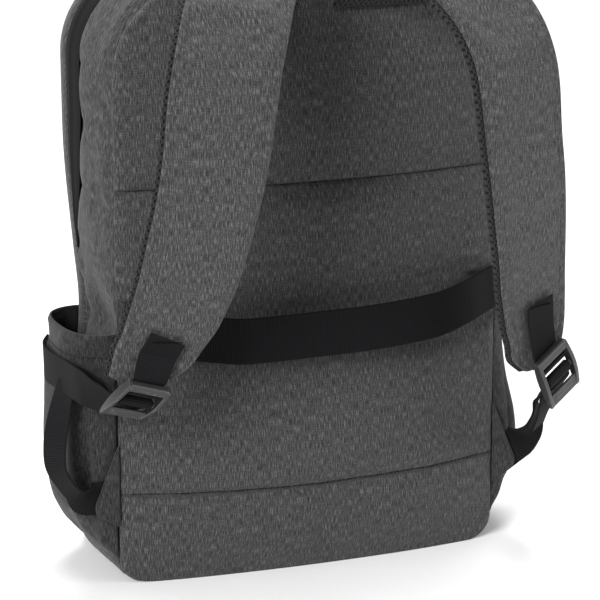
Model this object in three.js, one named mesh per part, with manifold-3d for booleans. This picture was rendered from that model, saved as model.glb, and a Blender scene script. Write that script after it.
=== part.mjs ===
// A laptop backpack in millimetres, +Z up. The wearer's side is -Y, the front of the bag is +Y.
// The origin is on the flat base. The bag is hollow: cloth walls round one main compartment.
import * as THREE from 'three';
import Module from 'manifold-3d';
import { mergeVertices } from 'three/addons/utils/BufferGeometryUtils.js';

const wasm = await Module();
wasm.setup();

// Overall sizes of the bag
const panelWidth = 290;        // back panel, seam to seam
const bagHeight = 435;
const bagDepth = 142;          // rear seam to the middle of the front face
const rearSeam = 55;           // rear seam's distance behind the origin
const frontSeam = 20;          // front shell's seam ahead of the origin
const wall = 3;                // padded cloth of the gusset
const frontWall = 4;           // padded cloth of the front
const topCorner = 65;          // corner radius of the outline at the top
const bottomCorner = 18;       // corner radius of the outline at the base
const sideBulge = 10;          // how far the sides swell beyond the rear seam
const topBulge = 5;            // how far the top swells above the rear seam
const frontRound = 45;         // width of the rounded edge round the front face
const frontCrown = 6;          // swelling of the front face
const clearance = 0.3;         // gap between pieces that are sewn or laid together

// Padded back panel
const panelEdge = 4;           // thickness along the seam
const panelPad = 6;            // thickness of the foam
const panelBulge = 28;         // how far the middle swells from the rear seam

// Main zipper and its sliders
const zipperWidth = 26;
const zipperThickness = 1.6;
const coilHeight = 1.5;
const coilTaper = 4;           // how quickly the coil sinks where the zipper runs out
const sliderLength = 13;
const sliderWidth = 8;
const sliderThickness = 3;
const sliderGap = 1;           // each slider's distance from the middle
const pullLength = 34;
const pullWidth = 6;
const pullThickness = 1.6;

// Side pockets
const pocketHeight = 165;      // bottom edge to open rim
const pocketBottom = 19;       // bottom edge above the base
const pocketReach = 28;        // how far the rim stands off the side
const pocketLength = 91;       // along the side, front to rear
const pocketMiddle = 8;        // middle of the pocket, behind the origin
const pocketWall = 1.6;

// Webbing
const luggageWidth = 33;
const luggageThickness = 1.6;
const luggageStandoff = 45;    // how far the luggage strap stands off the rear seam
const webbingWidth = 25;
const webbingThickness = 1.4;
const handleWidth = 22;
const handleThickness = 2.4;
const handleSpan = 88;         // between the sewn ends
const handleRise = 26;
const handleFoot = 12;         // length sewn flat to the top
const handleInset = 6;         // from the rear seam to the handle's rear edge
const handleSquareness = 0.7;  // below 1 the loop has a flatter top
const handleSteps = 12;

// Shoulder straps
const padWidth = 72;
const padThickness = 12;       // cloth, foam and air-mesh together
const padEdgeDrop = 2;         // rounding of the face at the long edges
const meshProud = 2;           // how far the air-mesh shows beyond the cloth at each edge
const harnessReach = 125;      // how far the straps stand off the rear seam
const meshShare = 0.5;         // part of the thickness that is air-mesh

// Ladder-lock buckles
const buckleLength = 37;
const lockShare = 0.46;        // place of the locking bar along the buckle
const barRadius = 2.6;         // top bar, left bare
const loopAt = 6.9;            // from the top bar to the bar that holds the sewn webbing
const loopRadius = 1.5;
const loopEnd = 2.2;           // webbing beyond its turn round that bar
const lockRadius = 2.2;
const plateThickness = 3;
const plateGap = 0.6;          // between webbing and side plate
const lipDepth = 6.5;
const lipThickness = 2.8;
const lipSink = 0.4;           // how far the lip reaches behind the bar's middle
const plateRim = 1.2;          // plastic of the side plates round the bar
const plateRise = 5;           // how far the side plates bulge out over the bar
const strandGap = 0.4;         // between the two strands behind the buckle

// Anchor tabs in the side seams
const tabThickness = 2;
const tabReach = 18;
const tabHeight = 60;
const tabBottom = 0.101 * bagHeight;
const tabTip = { high: 0.3, low: 0.16 };   // heights of the tab's blunt tip, as shares

// How full the bag is, as shares of the swelling, by depth from the rear seam and by height
const fullByDepth = [
  { back: 0, full: 0 },
  { back: 0.11, full: 0.42 },
  { back: 0.22, full: 0.75 },
  { back: 0.34, full: 1 },
  { back: 1, full: 1 },
];
const fullByHeight = [
  { up: 0, full: 0.3 },
  { up: 0.14, full: 0.5 },
  { up: 0.3, full: 0.45 },
  { up: 0.44, full: 0.15 },
  { up: 0.53, full: 0.45 },
  { up: 0.7, full: 0.95 },
  { up: 0.8, full: 1 },
  { up: 1, full: 1 },
];

// The panel's swelling by height: the two dips at the quilted seams, the low stretch at the strap
const panelRows = [
  { up: 0, swell: 0.28 },
  { up: 0.03, swell: 0.5 },
  { up: 0.08, swell: 0.78 },
  { up: 0.135, swell: 1 },
  { up: 0.155, swell: 0.82 },
  { up: 0.175, swell: 0.96 },
  { up: 0.25, swell: 0.82 },
  { up: 0.34, swell: 0.6 },
  { up: 0.41, swell: 0.42 },
  { up: 0.48, swell: 0.46 },
  { up: 0.56, swell: 0.64 },
  { up: 0.65, swell: 0.74 },
  { up: 0.67, swell: 0.62 },
  { up: 0.69, swell: 0.74 },
  { up: 0.77, swell: 0.72 },
  { up: 0.85, swell: 0.58 },
  { up: 0.92, swell: 0.38 },
  { up: 0.97, swell: 0.16 },
  { up: 1, swell: 0.03 },
];
const panelColumns = [-1, -0.94, -0.8, -0.6, -0.35, 0, 0.35, 0.6, 0.8, 0.94, 1];
const panelFalloff = 2.4;

// Side pockets: how far each stands off by height, and steps from its rear to its front edge.
// The left one gapes, the right one lies closer to the bag.
const pocketRows = [
  { up: 0, left: 0.12, right: 0.12 },
  { up: 0.05, left: 0.4, right: 0.4 },
  { up: 0.16, left: 0.7, right: 0.7 },
  { up: 0.35, left: 0.86, right: 0.8 },
  { up: 0.62, left: 0.9, right: 0.52 },
  { up: 0.86, left: 0.95, right: 0.41 },
  { up: 1, left: 1, right: 0.38 },
];
const pocketSteps = 12;
const pocketSquareness = 2.6;

// Luggage strap in plan: across in half panels, off in standoffs, up in bag heights
const luggageRows = [
  { across: -0.985, off: 0, up: 0.439 },
  { across: -0.9, off: 0.3, up: 0.434 },
  { across: -0.68, off: 0.66, up: 0.426 },
  { across: -0.52, off: 0.92, up: 0.422 },
  { across: -0.44, off: 1, up: 0.421 },
  { across: -0.1, off: 0.99, up: 0.421 },
  { across: 0.25, off: 0.99, up: 0.424 },
  { across: 0.53, off: 1, up: 0.433 },
  { across: 0.61, off: 0.93, up: 0.436 },
  { across: 0.78, off: 0.64, up: 0.443 },
  { across: 0.93, off: 0.27, up: 0.448 },
  { across: 0.985, off: 0, up: 0.449 },
];

// Shoulder strap, middle of its outer face, from its sewn end on the panel to its lower end
// out in half panels, off in harness reaches, up in bag heights, turn in degrees
const padRows = [
  { out: 0.35, off: 0.1, up: 0.945, turn: 0, width: 1, thick: 0.5 },
  { out: 0.36, off: 0.15, up: 0.975, turn: 0, width: 1, thick: 0.7 },
  { out: 0.39, off: 0.26, up: 1.008, turn: 3, width: 1, thick: 0.9 },
  { out: 0.44, off: 0.42, up: 1.027, turn: 6, width: 1.01, thick: 1 },
  { out: 0.51, off: 0.6, up: 1.018, turn: 9, width: 1.02, thick: 1 },
  { out: 0.6, off: 0.78, up: 0.985, turn: 12, width: 1.02, thick: 1 },
  { out: 0.67, off: 0.91, up: 0.94, turn: 15, width: 1.01, thick: 1 },
  { out: 0.721, off: 0.972, up: 0.887, turn: 17, width: 1, thick: 1 },
  { out: 0.747, off: 0.988, up: 0.839, turn: 18.1, width: 1, thick: 1 },
  { out: 0.776, off: 0.981, up: 0.759, turn: 18.8, width: 0.975, thick: 1 },
  { out: 0.809, off: 0.962, up: 0.69, turn: 19, width: 0.958, thick: 1 },
  { out: 0.847, off: 0.912, up: 0.621, turn: 20.5, width: 0.946, thick: 1 },
  { out: 0.887, off: 0.85, up: 0.552, turn: 22.5, width: 0.924, thick: 1 },
  { out: 0.927, off: 0.769, up: 0.494, turn: 22, width: 0.887, thick: 1 },
  { out: 0.946, off: 0.734, up: 0.471, turn: 22, width: 0.858, thick: 1 },
];
const padEnds = {
  right: [
    { out: 0.975, off: 0.684, up: 0.43, turn: 22, width: 0.81, thick: 0.95 },
    { out: 0.993, off: 0.656, up: 0.395, turn: 21, width: 0.71, thick: 0.85 },
    { out: 0.995, off: 0.64, up: 0.368, turn: 19, width: 0.62, thick: 0.7 },
    { out: 1, off: 0.632, up: 0.347, turn: 18, width: 0.34, thick: 0.5 },
  ],
  left: [
    { out: 0.982, off: 0.668, up: 0.437, turn: 20, width: 0.81, thick: 0.95 },
    { out: 1.005, off: 0.645, up: 0.418, turn: 18, width: 0.75, thick: 0.85 },
    { out: 1.032, off: 0.628, up: 0.403, turn: 16, width: 0.66, thick: 0.7 },
    { out: 1.036, off: 0.624, up: 0.396, turn: 16, width: 0.46, thick: 0.5 },
  ],
};
const patchStart = 14;         // the strap row at which the sewn webbing begins
const patchRows = 2;           // how many rows it follows before it leaves for the bar
const patchLift = 1.1;         // how far the sewn webbing stands off the cloth
const wrapSteps = 8;           // steps of the webbing's turn round its bar
const padColumns = [-1, -0.85, 0, 0.85, 1];

// Buckles: the bar's place, and the directions along the buckle and across it
const buckles = {
  right: {
    bar: { out: 1.037, off: 0.688, up: 0.373 },
    along: new THREE.Vector3(0.42, 0.19, -0.89),
    across: new THREE.Vector3(0.84, 0.35, 0.41),
  },
  left: {
    bar: { out: 1.037, off: 0.688, up: 0.389 },
    along: new THREE.Vector3(0.31, 0.69, -0.65),
    across: new THREE.Vector3(0.92, -0.1, 0.28),
  },
};

// Free runs of the lower webbing, listed from the tab to the buckle and from the buckle to the
// end of the tail. side is the direction of the width. sewn lies behind the tab, reach and rise
// being shares of its reach and height.
const lowerRuns = {
  right: {
    sewn: [{ reach: 0.42, rise: 0.28, side: [0.5, 0, -0.87] }],
    load: [
      { out: 1.130, off: 0.008, up: 0.156, side: [0.5, 0, -0.87] },
      { out: 1.140, off: 0.052, up: 0.170, side: [0.5, 0.2, -0.8] },
      { out: 1.123, off: 0.152, up: 0.191, side: [0.55, 0.45, -0.65] },
      { out: 1.099, off: 0.256, up: 0.213, side: [0.55, 0.65, -0.5] },
      { out: 1.077, off: 0.352, up: 0.236, side: [0.5, 0.8, -0.3] },
      { out: 1.063, off: 0.424, up: 0.256, side: [0.45, 0.88, -0.1] },
      { out: 1.054, off: 0.488, up: 0.276, side: [0.5, 0.85, 0] },
      { out: 1.061, off: 0.528, up: 0.295, side: [0.7, 0.6, 0.15] },
    ],
    tail: [
      { out: 1.088, off: 0.576, up: 0.297, side: [0.84, 0.35, 0.3] },
      { out: 1.074, off: 0.560, up: 0.279, side: [0.7, 0.6, -0.05] },
      { out: 1.057, off: 0.544, up: 0.257, side: [0.61, 0.75, -0.24] },
      { out: 1.043, off: 0.528, up: 0.239, side: [0.61, 0.75, -0.24] },
    ],
  },
  left: {
    sewn: [
      { reach: 0.1, rise: 0.37, side: [0, 0, -1] },
      { reach: 0.6, rise: 0.37, side: [0, 0, -1] },
    ],
    load: [
      { out: 1.145, off: 0.012, up: 0.153, side: [0, 0.1, -1] },
      { out: 1.190, off: 0.030, up: 0.156, side: [0.05, 0.4, -0.85] },
      { out: 1.238, off: 0.030, up: 0.166, side: [0.15, 0.8, -0.45] },
      { out: 1.279, off: 0.000, up: 0.185, side: [0.3, 0.92, -0.15] },
      { out: 1.307, off: -0.040, up: 0.209, side: [0.36, 0.93, 0] },
      { out: 1.303, off: -0.072, up: 0.244, side: [0.36, 0.93, 0] },
      { out: 1.276, off: -0.104, up: 0.280, side: [0.36, 0.93, 0] },
      { out: 1.248, off: -0.112, up: 0.317, side: [0.2, 0.93, 0.1] },
      { out: 1.231, off: -0.064, up: 0.349, side: [0, 0.7, 0.7] },
      { out: 1.221, off: 0.040, up: 0.363, side: [0, 0.1, 1] },
      { out: 1.197, off: 0.200, up: 0.366, side: [0, 0, 1] },
      { out: 1.159, off: 0.352, up: 0.364, side: [0.3, 0, 0.95] },
      { out: 1.117, off: 0.440, up: 0.362, side: [0.7, -0.1, 0.7] },
    ],
    tail: [
      { out: 1.134, off: 0.440, up: 0.351, side: [0.6, -0.1, 0.75] },
      { out: 1.190, off: 0.344, up: 0.354, side: [0.3, -0.05, 0.95] },
      { out: 1.234, off: 0.200, up: 0.360, side: [0, 0, 1] },
      { out: 1.241, off: -0.080, up: 0.356, side: [0, 0, 1] },
      { out: 1.245, off: -0.320, up: 0.351, side: [0, 0, 1] },
      { out: 1.238, off: -0.480, up: 0.347, side: [0, 0, 1] },
      { out: 1.214, off: -0.616, up: 0.347, side: [0, 0.1, 1] },
      { out: 1.155, off: -0.736, up: 0.349, side: [0, 0.2, 1] },
    ],
  },
};

function material(color, roughness, metalness = 0) {
  return new THREE.MeshStandardMaterial({ color, roughness, metalness });
}

const heatherCloth = material(0x4a4a4c, 0.95);
const strapCloth = material(0x5c5c5e, 0.95);
const blackWebbing = material(0x1d1d1f, 0.8);
const airMesh = material(0x161617, 0.9);
const bucklePlastic = material(0x2a2a2c, 0.45);
const zipperTape = material(0x202022, 0.8);

// Helpers for surfaces that are grids of points

function lookup(rows, key, value, at) {
  if (at <= rows[0][key]) return rows[0][value];
  for (let i = 1; i < rows.length; i += 1) {
    const low = rows[i - 1];
    const high = rows[i];
    if (at <= high[key]) {
      const share = (at - low[key]) / (high[key] - low[key]);
      return low[value] + (high[value] - low[value]) * share;
    }
  }
  return rows[rows.length - 1][value];
}

function solidVolume(positions, faces) {
  let sum = 0;
  const corner = (k) => new THREE.Vector3().fromArray(positions, 3 * faces[k]);
  for (let k = 0; k < faces.length; k += 3) {
    sum += corner(k).dot(corner(k + 1).cross(corner(k + 2)));
  }
  return sum / 6;
}

// Two skins of the same grid, joined along their borders into one closed body.
// closed: the columns run round in a ring. pole: the last row is a single point.
function slab(outer, inner, { closed = false, pole = false } = {}) {
  const rows = outer.length;
  const columns = outer[0].length;
  const positions = [];
  for (const skin of [outer, inner]) {
    for (const row of skin) {
      for (const point of row) positions.push(point.x, point.y, point.z);
    }
  }
  const index = (skin, i, j) => {
    const column = pole && i === rows - 1 ? 0 : j % columns;
    return (skin * rows + i) * columns + column;
  };
  const faces = [];
  const quad = (a, b, c, d) => {
    for (const face of [[a, b, c], [a, c, d]]) {
      if (new Set(face).size === 3) faces.push(...face);
    }
  };
  const spans = closed ? columns : columns - 1;
  const last = rows - 1;
  for (let j = 0; j < spans; j += 1) {
    for (let i = 0; i < last; i += 1) {
      quad(index(0, i, j), index(0, i, j + 1), index(0, i + 1, j + 1), index(0, i + 1, j));
      quad(index(1, i, j), index(1, i + 1, j), index(1, i + 1, j + 1), index(1, i, j + 1));
    }
    quad(index(0, 0, j), index(1, 0, j), index(1, 0, j + 1), index(0, 0, j + 1));
    if (!pole) quad(index(0, last, j), index(0, last, j + 1), index(1, last, j + 1), index(1, last, j));
  }
  if (!closed) {
    const end = columns - 1;
    for (let i = 0; i < last; i += 1) {
      quad(index(0, i, 0), index(0, i + 1, 0), index(1, i + 1, 0), index(1, i, 0));
      quad(index(0, i, end), index(1, i, end), index(1, i + 1, end), index(0, i + 1, end));
    }
  }
  if (solidVolume(positions, faces) < 0) faces.reverse();
  const geometry = new THREE.BufferGeometry();
  geometry.setAttribute('position', new THREE.Float32BufferAttribute(positions, 3));
  geometry.setIndex(faces);
  return mergeVertices(geometry);
}

function mirrored(grid, sign) {
  return grid.map((row) => row.map((point) => new THREE.Vector3(sign * point.x, point.y, point.z)));
}

// The outline of the bag at one depth, as a ring of points that starts at the middle of the base

const baseSteps = 2;
const bottomArcSteps = 3;
const sideSteps = 8;
const topArcSteps = 5;
const topSteps = 2;
const halfRing = baseSteps + bottomArcSteps + sideSteps + topArcSteps + topSteps;

function fullness(y) {
  return lookup(fullByDepth, 'back', 'full', (y + rearSeam) / bagDepth);
}

function sideHalf(y, z) {
  return panelWidth / 2 + sideBulge * fullness(y) * lookup(fullByHeight, 'up', 'full', z / bagHeight);
}

function topAt(y) {
  return bagHeight - topBulge * (1 - fullness(y));
}

function ringAt(y, inset, baseInset) {
  const top = topAt(y) - inset;
  const low = baseInset;
  const topRadius = Math.max(topCorner - inset, wall);
  const lowRadius = Math.max(bottomCorner - baseInset, wall);
  const half = (z) => sideHalf(y, z) - inset;
  const lowCentre = half(low + lowRadius) - lowRadius;
  const topCentre = half(top - topRadius) - topRadius;
  const right = [];
  for (let k = 0; k < baseSteps; k += 1) right.push([lowCentre * k / baseSteps, low]);
  for (let k = 0; k < bottomArcSteps; k += 1) {
    const turn = (k / bottomArcSteps) * Math.PI / 2;
    right.push([lowCentre + lowRadius * Math.sin(turn), low + lowRadius * (1 - Math.cos(turn))]);
  }
  for (let k = 0; k < sideSteps; k += 1) {
    const z = THREE.MathUtils.lerp(low + lowRadius, top - topRadius, k / sideSteps);
    right.push([half(z), z]);
  }
  for (let k = 0; k < topArcSteps; k += 1) {
    const turn = (k / topArcSteps) * Math.PI / 2;
    right.push([topCentre + topRadius * Math.cos(turn), top - topRadius * (1 - Math.sin(turn))]);
  }
  for (let k = 0; k <= topSteps; k += 1) right.push([topCentre * (1 - k / topSteps), top]);
  const left = right.slice(1, -1).reverse().map(([x, z]) => [-x, z]);
  return [...right, ...left].map(([x, z]) => new THREE.Vector3(x, y, z));
}

// Share of the zipper's width that is open between gusset and front shell, at each ring point
const openSide = [0, 0, 0, 0, 0, 0.06, 0.7, 1];
function zipperShare(j) {
  const step = Math.min(j, 2 * halfRing - j) - baseSteps - bottomArcSteps;
  if (step < 0) return 0;
  return step < openSide.length ? openSide[step] : 1;
}

function gussetFrontEdge(j) {
  return frontSeam - clearance - zipperWidth * zipperShare(j);
}

function rearGusset() {
  const shares = [0, 0.2, 0.45, 0.7, 1];
  const skin = (inset) => shares.map((share) => Array.from({ length: 2 * halfRing }, (_, j) => {
    const y = THREE.MathUtils.lerp(clearance - rearSeam, gussetFrontEdge(j), share);
    return ringAt(y, inset, inset)[j];
  }));
  return slab(skin(0), skin(wall), { closed: true });
}

function mainZipper() {
  const first = baseSteps + bottomArcSteps + openSide.indexOf(0.06);
  const rows = [
    { share: 0, raise: 0 },
    { share: 0.4, raise: 0 },
    { share: 0.46, raise: 1 },
    { share: 0.54, raise: 1 },
    { share: 0.6, raise: 0 },
    { share: 1, raise: 0 },
  ];
  const skin = (inset, coil) => rows.map(({ share, raise }) => {
    const points = [];
    for (let j = first; j <= 2 * halfRing - first; j += 1) {
      const y = THREE.MathUtils.lerp(gussetFrontEdge(j) + clearance, frontSeam - clearance, share);
      const lift = raise * coil * Math.min(1, coilTaper * zipperShare(j));
      points.push(ringAt(y, inset - lift, inset - lift)[j]);
    }
    return points;
  });
  return slab(skin(0, coilHeight), skin(zipperThickness, 0));
}

function frontShell() {
  const depth = bagDepth - rearSeam - frontSeam - frontCrown;
  const turns = [0, 0.25, 0.5, 0.75, 1];
  const faceRings = [0.72, 0.4, 0];
  const skin = (inset) => {
    const grid = turns.map((share) => {
      const turn = share * Math.PI / 2;
      const y = frontSeam + (depth - inset) * Math.sin(turn);
      const round = (frontRound - inset) * (1 - Math.cos(turn));
      return ringAt(y, inset + round, inset + round / 2);
    });
    const edge = grid[grid.length - 1];
    const middle = (edge[0].z + edge[halfRing].z) / 2;
    for (const scale of faceRings) {
      const y = edge[0].y + frontCrown * (1 - scale * scale);
      grid.push(edge.map((point) => (
        new THREE.Vector3(point.x * scale, y, middle + (point.z - middle) * scale))));
    }
    return grid;
  };
  return slab(skin(0), skin(frontWall), { closed: true, pole: true });
}

// Back panel

function panelHalf(z) {
  const top = topAt(-rearSeam);
  const half = panelWidth / 2;
  const arc = (radius, drop) => half - radius + Math.sqrt(Math.max(radius ** 2 - drop ** 2, 0));
  if (z < bottomCorner) return arc(bottomCorner, bottomCorner - z);
  if (z > top - topCorner) return arc(topCorner, z - top + topCorner);
  return half;
}

function panelFace(x, z) {
  const share = Math.min(Math.abs(x) / panelHalf(z), 1);
  const swell = lookup(panelRows, 'up', 'swell', z / topAt(-rearSeam));
  return -rearSeam - panelEdge - panelBulge * swell * (1 - share ** panelFalloff);
}

function backPanel() {
  const skin = (yAt) => panelRows.map(({ up }) => {
    const z = up * topAt(-rearSeam);
    return panelColumns.map((share) => {
      const x = share * panelHalf(z);
      return new THREE.Vector3(x, yAt(panelFace(x, z)), z);
    });
  });
  return slab(skin((face) => face), skin((face) => Math.min(face + panelPad, -rearSeam)));
}

// Side pockets

function pocketSkins(side) {
  const outer = pocketRows.map((height) => {
    const z = pocketBottom + height.up * pocketHeight;
    return Array.from({ length: pocketSteps + 1 }, (_, k) => {
      const turn = (k / pocketSteps - 0.5) * Math.PI;
      const power = 2 / pocketSquareness;
      const along = Math.sign(turn) * Math.abs(Math.sin(turn)) ** power;
      const y = along * pocketLength / 2 - pocketMiddle;
      const stand = pocketReach * height[side] * Math.cos(turn) ** power;
      return new THREE.Vector3(sideHalf(y, z) + 2 * clearance + Math.max(stand, 0), y, z);
    });
  });
  const inner = outer.map((row, i) => row.map((point, k) => {
    const before = row[Math.max(k - 1, 0)];
    const after = row[Math.min(k + 1, pocketSteps)];
    const below = outer[Math.max(i - 1, 0)][k];
    const above = outer[Math.min(i + 1, outer.length - 1)][k];
    const normal = after.clone().sub(before).cross(above.clone().sub(below)).normalize();
    const moved = point.clone().addScaledVector(normal, -pocketWall);
    moved.x = Math.max(moved.x, sideHalf(moved.y, moved.z) + 2 * clearance);
    if (i === outer.length - 1) moved.z = point.z;
    return moved;
  }));
  return [outer, inner];
}

function sidePocket(side, sign) {
  const [outer, inner] = pocketSkins(side);
  return slab(mirrored(outer, sign), mirrored(inner, sign));
}

// Straps and webbing: flat bands along a row of points, each with the direction of its width

function place({ out, off, up }, sign = 1) {
  return new THREE.Vector3(
    sign * out * panelWidth / 2, -rearSeam - off * harnessReach, up * bagHeight);
}

function smoothed(rows, steps) {
  const curve = new THREE.CatmullRomCurve3(rows.map((row) => row.at), false, 'centripetal');
  const count = (rows.length - 1) * steps;
  return Array.from({ length: count + 1 }, (_, k) => {
    const low = Math.min(Math.floor(k / steps), rows.length - 2);
    const side = rows[low].side.clone().lerp(rows[low + 1].side, k / steps - low);
    return { at: curve.getPoint(k / count), side: side.normalize() };
  });
}

function band(rows, width, thickness, sign = 1) {
  const frames = rows.map((row, i) => {
    const before = rows[Math.max(i - 1, 0)].at;
    const after = rows[Math.min(i + 1, rows.length - 1)].at;
    const along = after.clone().sub(before).normalize();
    const side = row.side.clone().addScaledVector(along, -row.side.dot(along)).normalize();
    return { at: row.at, side, face: along.clone().cross(side) };
  });
  const skin = (lift) => frames.map(({ at, side, face }) => [-0.5, 0.5].map((edge) => (
    at.clone().addScaledVector(side, edge * width).addScaledVector(face, lift * thickness))));
  return slab(mirrored(skin(0.5), sign), mirrored(skin(-0.5), sign));
}

function luggageStrap() {
  const rows = luggageRows.map(({ across, off, up }, i) => {
    const x = across * panelWidth / 2;
    const z = up * bagHeight;
    const end = i === 0 || i === luggageRows.length - 1;
    const seat = Math.min(
      panelFace(x, z - luggageWidth / 2), panelFace(x, z), panelFace(x, z + luggageWidth / 2));
    const y = end ? seat - clearance - luggageThickness : -rearSeam - off * luggageStandoff;
    return { at: new THREE.Vector3(x, y, z), side: new THREE.Vector3(0, 0, 1) };
  });
  return band(rows, luggageWidth, luggageThickness);
}

// Frame of the shoulder strap at one row: middle of the face, width direction, outward direction
function padFrame(rows, i) {
  const row = rows[i];
  const before = place(rows[Math.max(i - 1, 0)]);
  const after = place(rows[Math.min(i + 1, rows.length - 1)]);
  const along = after.sub(before).normalize();
  const turn = THREE.MathUtils.degToRad(row.turn);
  const side = new THREE.Vector3(Math.cos(turn), Math.sin(turn), 0);
  const out = i === 0 ? new THREE.Vector3(0, 0, 1) : along.clone().cross(side).normalize();
  return { at: place(row), side, out };
}

// One layer of the strap between two depths, given as shares of its thickness
function padLayer(name, sign, from, to, proud) {
  const rows = [...padRows, ...padEnds[name]];
  const skin = (depth, drop) => rows.map((row, i) => {
    const { at, side, out } = padFrame(rows, i);
    return padColumns.map((column) => {
      const point = at.clone().addScaledVector(side, column * (row.width * padWidth / 2 + proud));
      const sink = depth * padThickness * row.thick + drop * column ** 4 * row.thick;
      point.addScaledVector(out, -sink);
      if (i === 0) point.y = panelFace(point.x, point.z) - clearance;
      return point;
    });
  });
  const outer = skin(from, from === 0 ? padEdgeDrop : 0);
  const inner = skin(to, to === 1 ? -padEdgeDrop : 0);
  return slab(mirrored(outer, sign), mirrored(inner, sign));
}

function shoulderPad(side, sign) {
  return padLayer(side, sign, 0, 1 - meshShare, 0);
}

function padMesh(side, sign) {
  return padLayer(side, sign, 1 - meshShare + 2 * clearance / padThickness, 1, meshProud);
}

// Buckle frame: the bar's middle, the way along the buckle, across it and out of its face
function buckleFrame(side) {
  const { bar, along, across } = buckles[side];
  const length = along.clone().normalize();
  const width = across.clone().addScaledVector(length, -across.dot(length)).normalize();
  const out = length.clone().cross(width);
  const at = place(bar);
  const point = (down, lift) => at.clone().addScaledVector(length, down).addScaledVector(out, lift);
  return { at, length, width, out, point };
}

const lockAt = lockShare * buckleLength;

// The sewn webbing passes behind the top bar and turns round the bar below it
const behindBar = -barRadius - clearance - webbingThickness / 2;
const loopTurn = loopRadius + clearance + webbingThickness / 2;
const loopLift = behindBar + loopTurn;

function strapPatch(side, sign) {
  const { width, point } = buckleFrame(side);
  const strap = [...padRows, ...padEnds[side]];
  const rows = [];
  for (let i = patchStart; i < patchStart + patchRows; i += 1) {
    const frame = padFrame(strap, i);
    const lift = clearance + webbingThickness / 2 + patchLift;
    rows.push({ at: frame.at.clone().addScaledVector(frame.out, lift), side: frame.side });
  }
  rows.push({ at: point(-2 * barRadius, behindBar + webbingThickness), side: width });
  rows.push({ at: point(0, behindBar), side: width });
  for (let k = 0; k <= wrapSteps; k += 1) {
    const turn = Math.PI * k / wrapSteps;
    const down = loopAt + loopTurn * Math.sin(turn);
    rows.push({ at: point(down, loopLift - loopTurn * Math.cos(turn)), side: width });
  }
  rows.push({ at: point(loopAt - loopEnd, loopLift + loopTurn), side: width });
  return band(rows, webbingWidth, webbingThickness, sign);
}

function lowerStrap(side, sign) {
  const { width, point } = buckleFrame(side);
  const run = (rows) => rows.map((row) => ({
    at: place(row), side: new THREE.Vector3(...row.side) }));
  const seat = -rearSeam - clearance - webbingThickness / 2;
  const sewn = lowerRuns[side].sewn.map((row) => ({
    at: new THREE.Vector3(panelWidth / 2 + row.reach * tabReach, seat, tabBottom + row.rise * tabHeight),
    side: new THREE.Vector3(...row.side),
  }));
  const radius = lockRadius + clearance + webbingThickness / 2;
  const behindTail = -clearance - webbingThickness - strandGap;
  const behindLoad = behindTail - webbingThickness - 2 * clearance;
  const threaded = [
    [lockAt + 3 * radius, behindLoad],
    [lockAt + radius, behindLoad + clearance],
    [lockAt, -radius],
    [lockAt - radius * 0.8, -radius * 0.6],
    [lockAt - radius * 0.8, radius * 0.6],
    [lockAt, radius],
    [lockAt + radius, radius * 0.5],
    [lockAt + 2 * radius, behindTail / 2],
    [lockAt + 3 * radius, behindTail],
  ].map(([down, lift]) => ({ at: point(down, lift), side: width }));
  const rows = [...sewn, ...run(lowerRuns[side].load), ...threaded, ...run(lowerRuns[side].tail)];
  return band(smoothed(rows, 2), webbingWidth, webbingThickness, sign);
}

// Joins and places

function toManifold(geometry) {
  const bare = geometry.clone();
  bare.deleteAttribute('normal');
  bare.deleteAttribute('uv');
  const merged = mergeVertices(bare, 1e-4);
  return new wasm.Manifold(new wasm.Mesh({
    numProp: 3,
    vertProperties: Float32Array.from(merged.attributes.position.array),
    triVerts: Uint32Array.from(merged.index.array),
  }));
}

function fromManifold(solid) {
  const mesh = solid.getMesh();
  const geometry = new THREE.BufferGeometry();
  geometry.setAttribute('position', new THREE.Float32BufferAttribute(mesh.vertProperties, 3));
  geometry.setIndex([...mesh.triVerts]);
  return geometry;
}

function bar(radius, length, down, lift) {
  const geometry = new THREE.CylinderGeometry(radius, radius, length, 12);
  geometry.rotateZ(Math.PI / 2);
  geometry.translate(0, down, lift);
  return geometry;
}

// A side plate, drawn along the buckle and extruded across it
function sidePlate(middle) {
  const shape = new THREE.Shape();
  const end = -barRadius - plateRim;
  shape.moveTo(end, -barRadius - plateRim);
  shape.quadraticCurveTo(end, barRadius + plateRim, barRadius, barRadius + plateRim);
  shape.quadraticCurveTo(buckleLength / 2, barRadius + plateRise, buckleLength, lipThickness - lipSink);
  shape.lineTo(buckleLength, -lipSink);
  shape.quadraticCurveTo(buckleLength / 2, -barRadius - plateRim, end, -barRadius - plateRim);
  const geometry = new THREE.ExtrudeGeometry(
    shape, { depth: plateThickness, bevelEnabled: false, curveSegments: 5 });
  geometry.translate(0, 0, -plateThickness / 2);
  const basis = new THREE.Matrix4().makeBasis(
    new THREE.Vector3(0, 1, 0), new THREE.Vector3(0, 0, 1), new THREE.Vector3(1, 0, 0));
  geometry.applyMatrix4(basis);
  geometry.translate(middle, 0, 0);
  return geometry;
}

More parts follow.
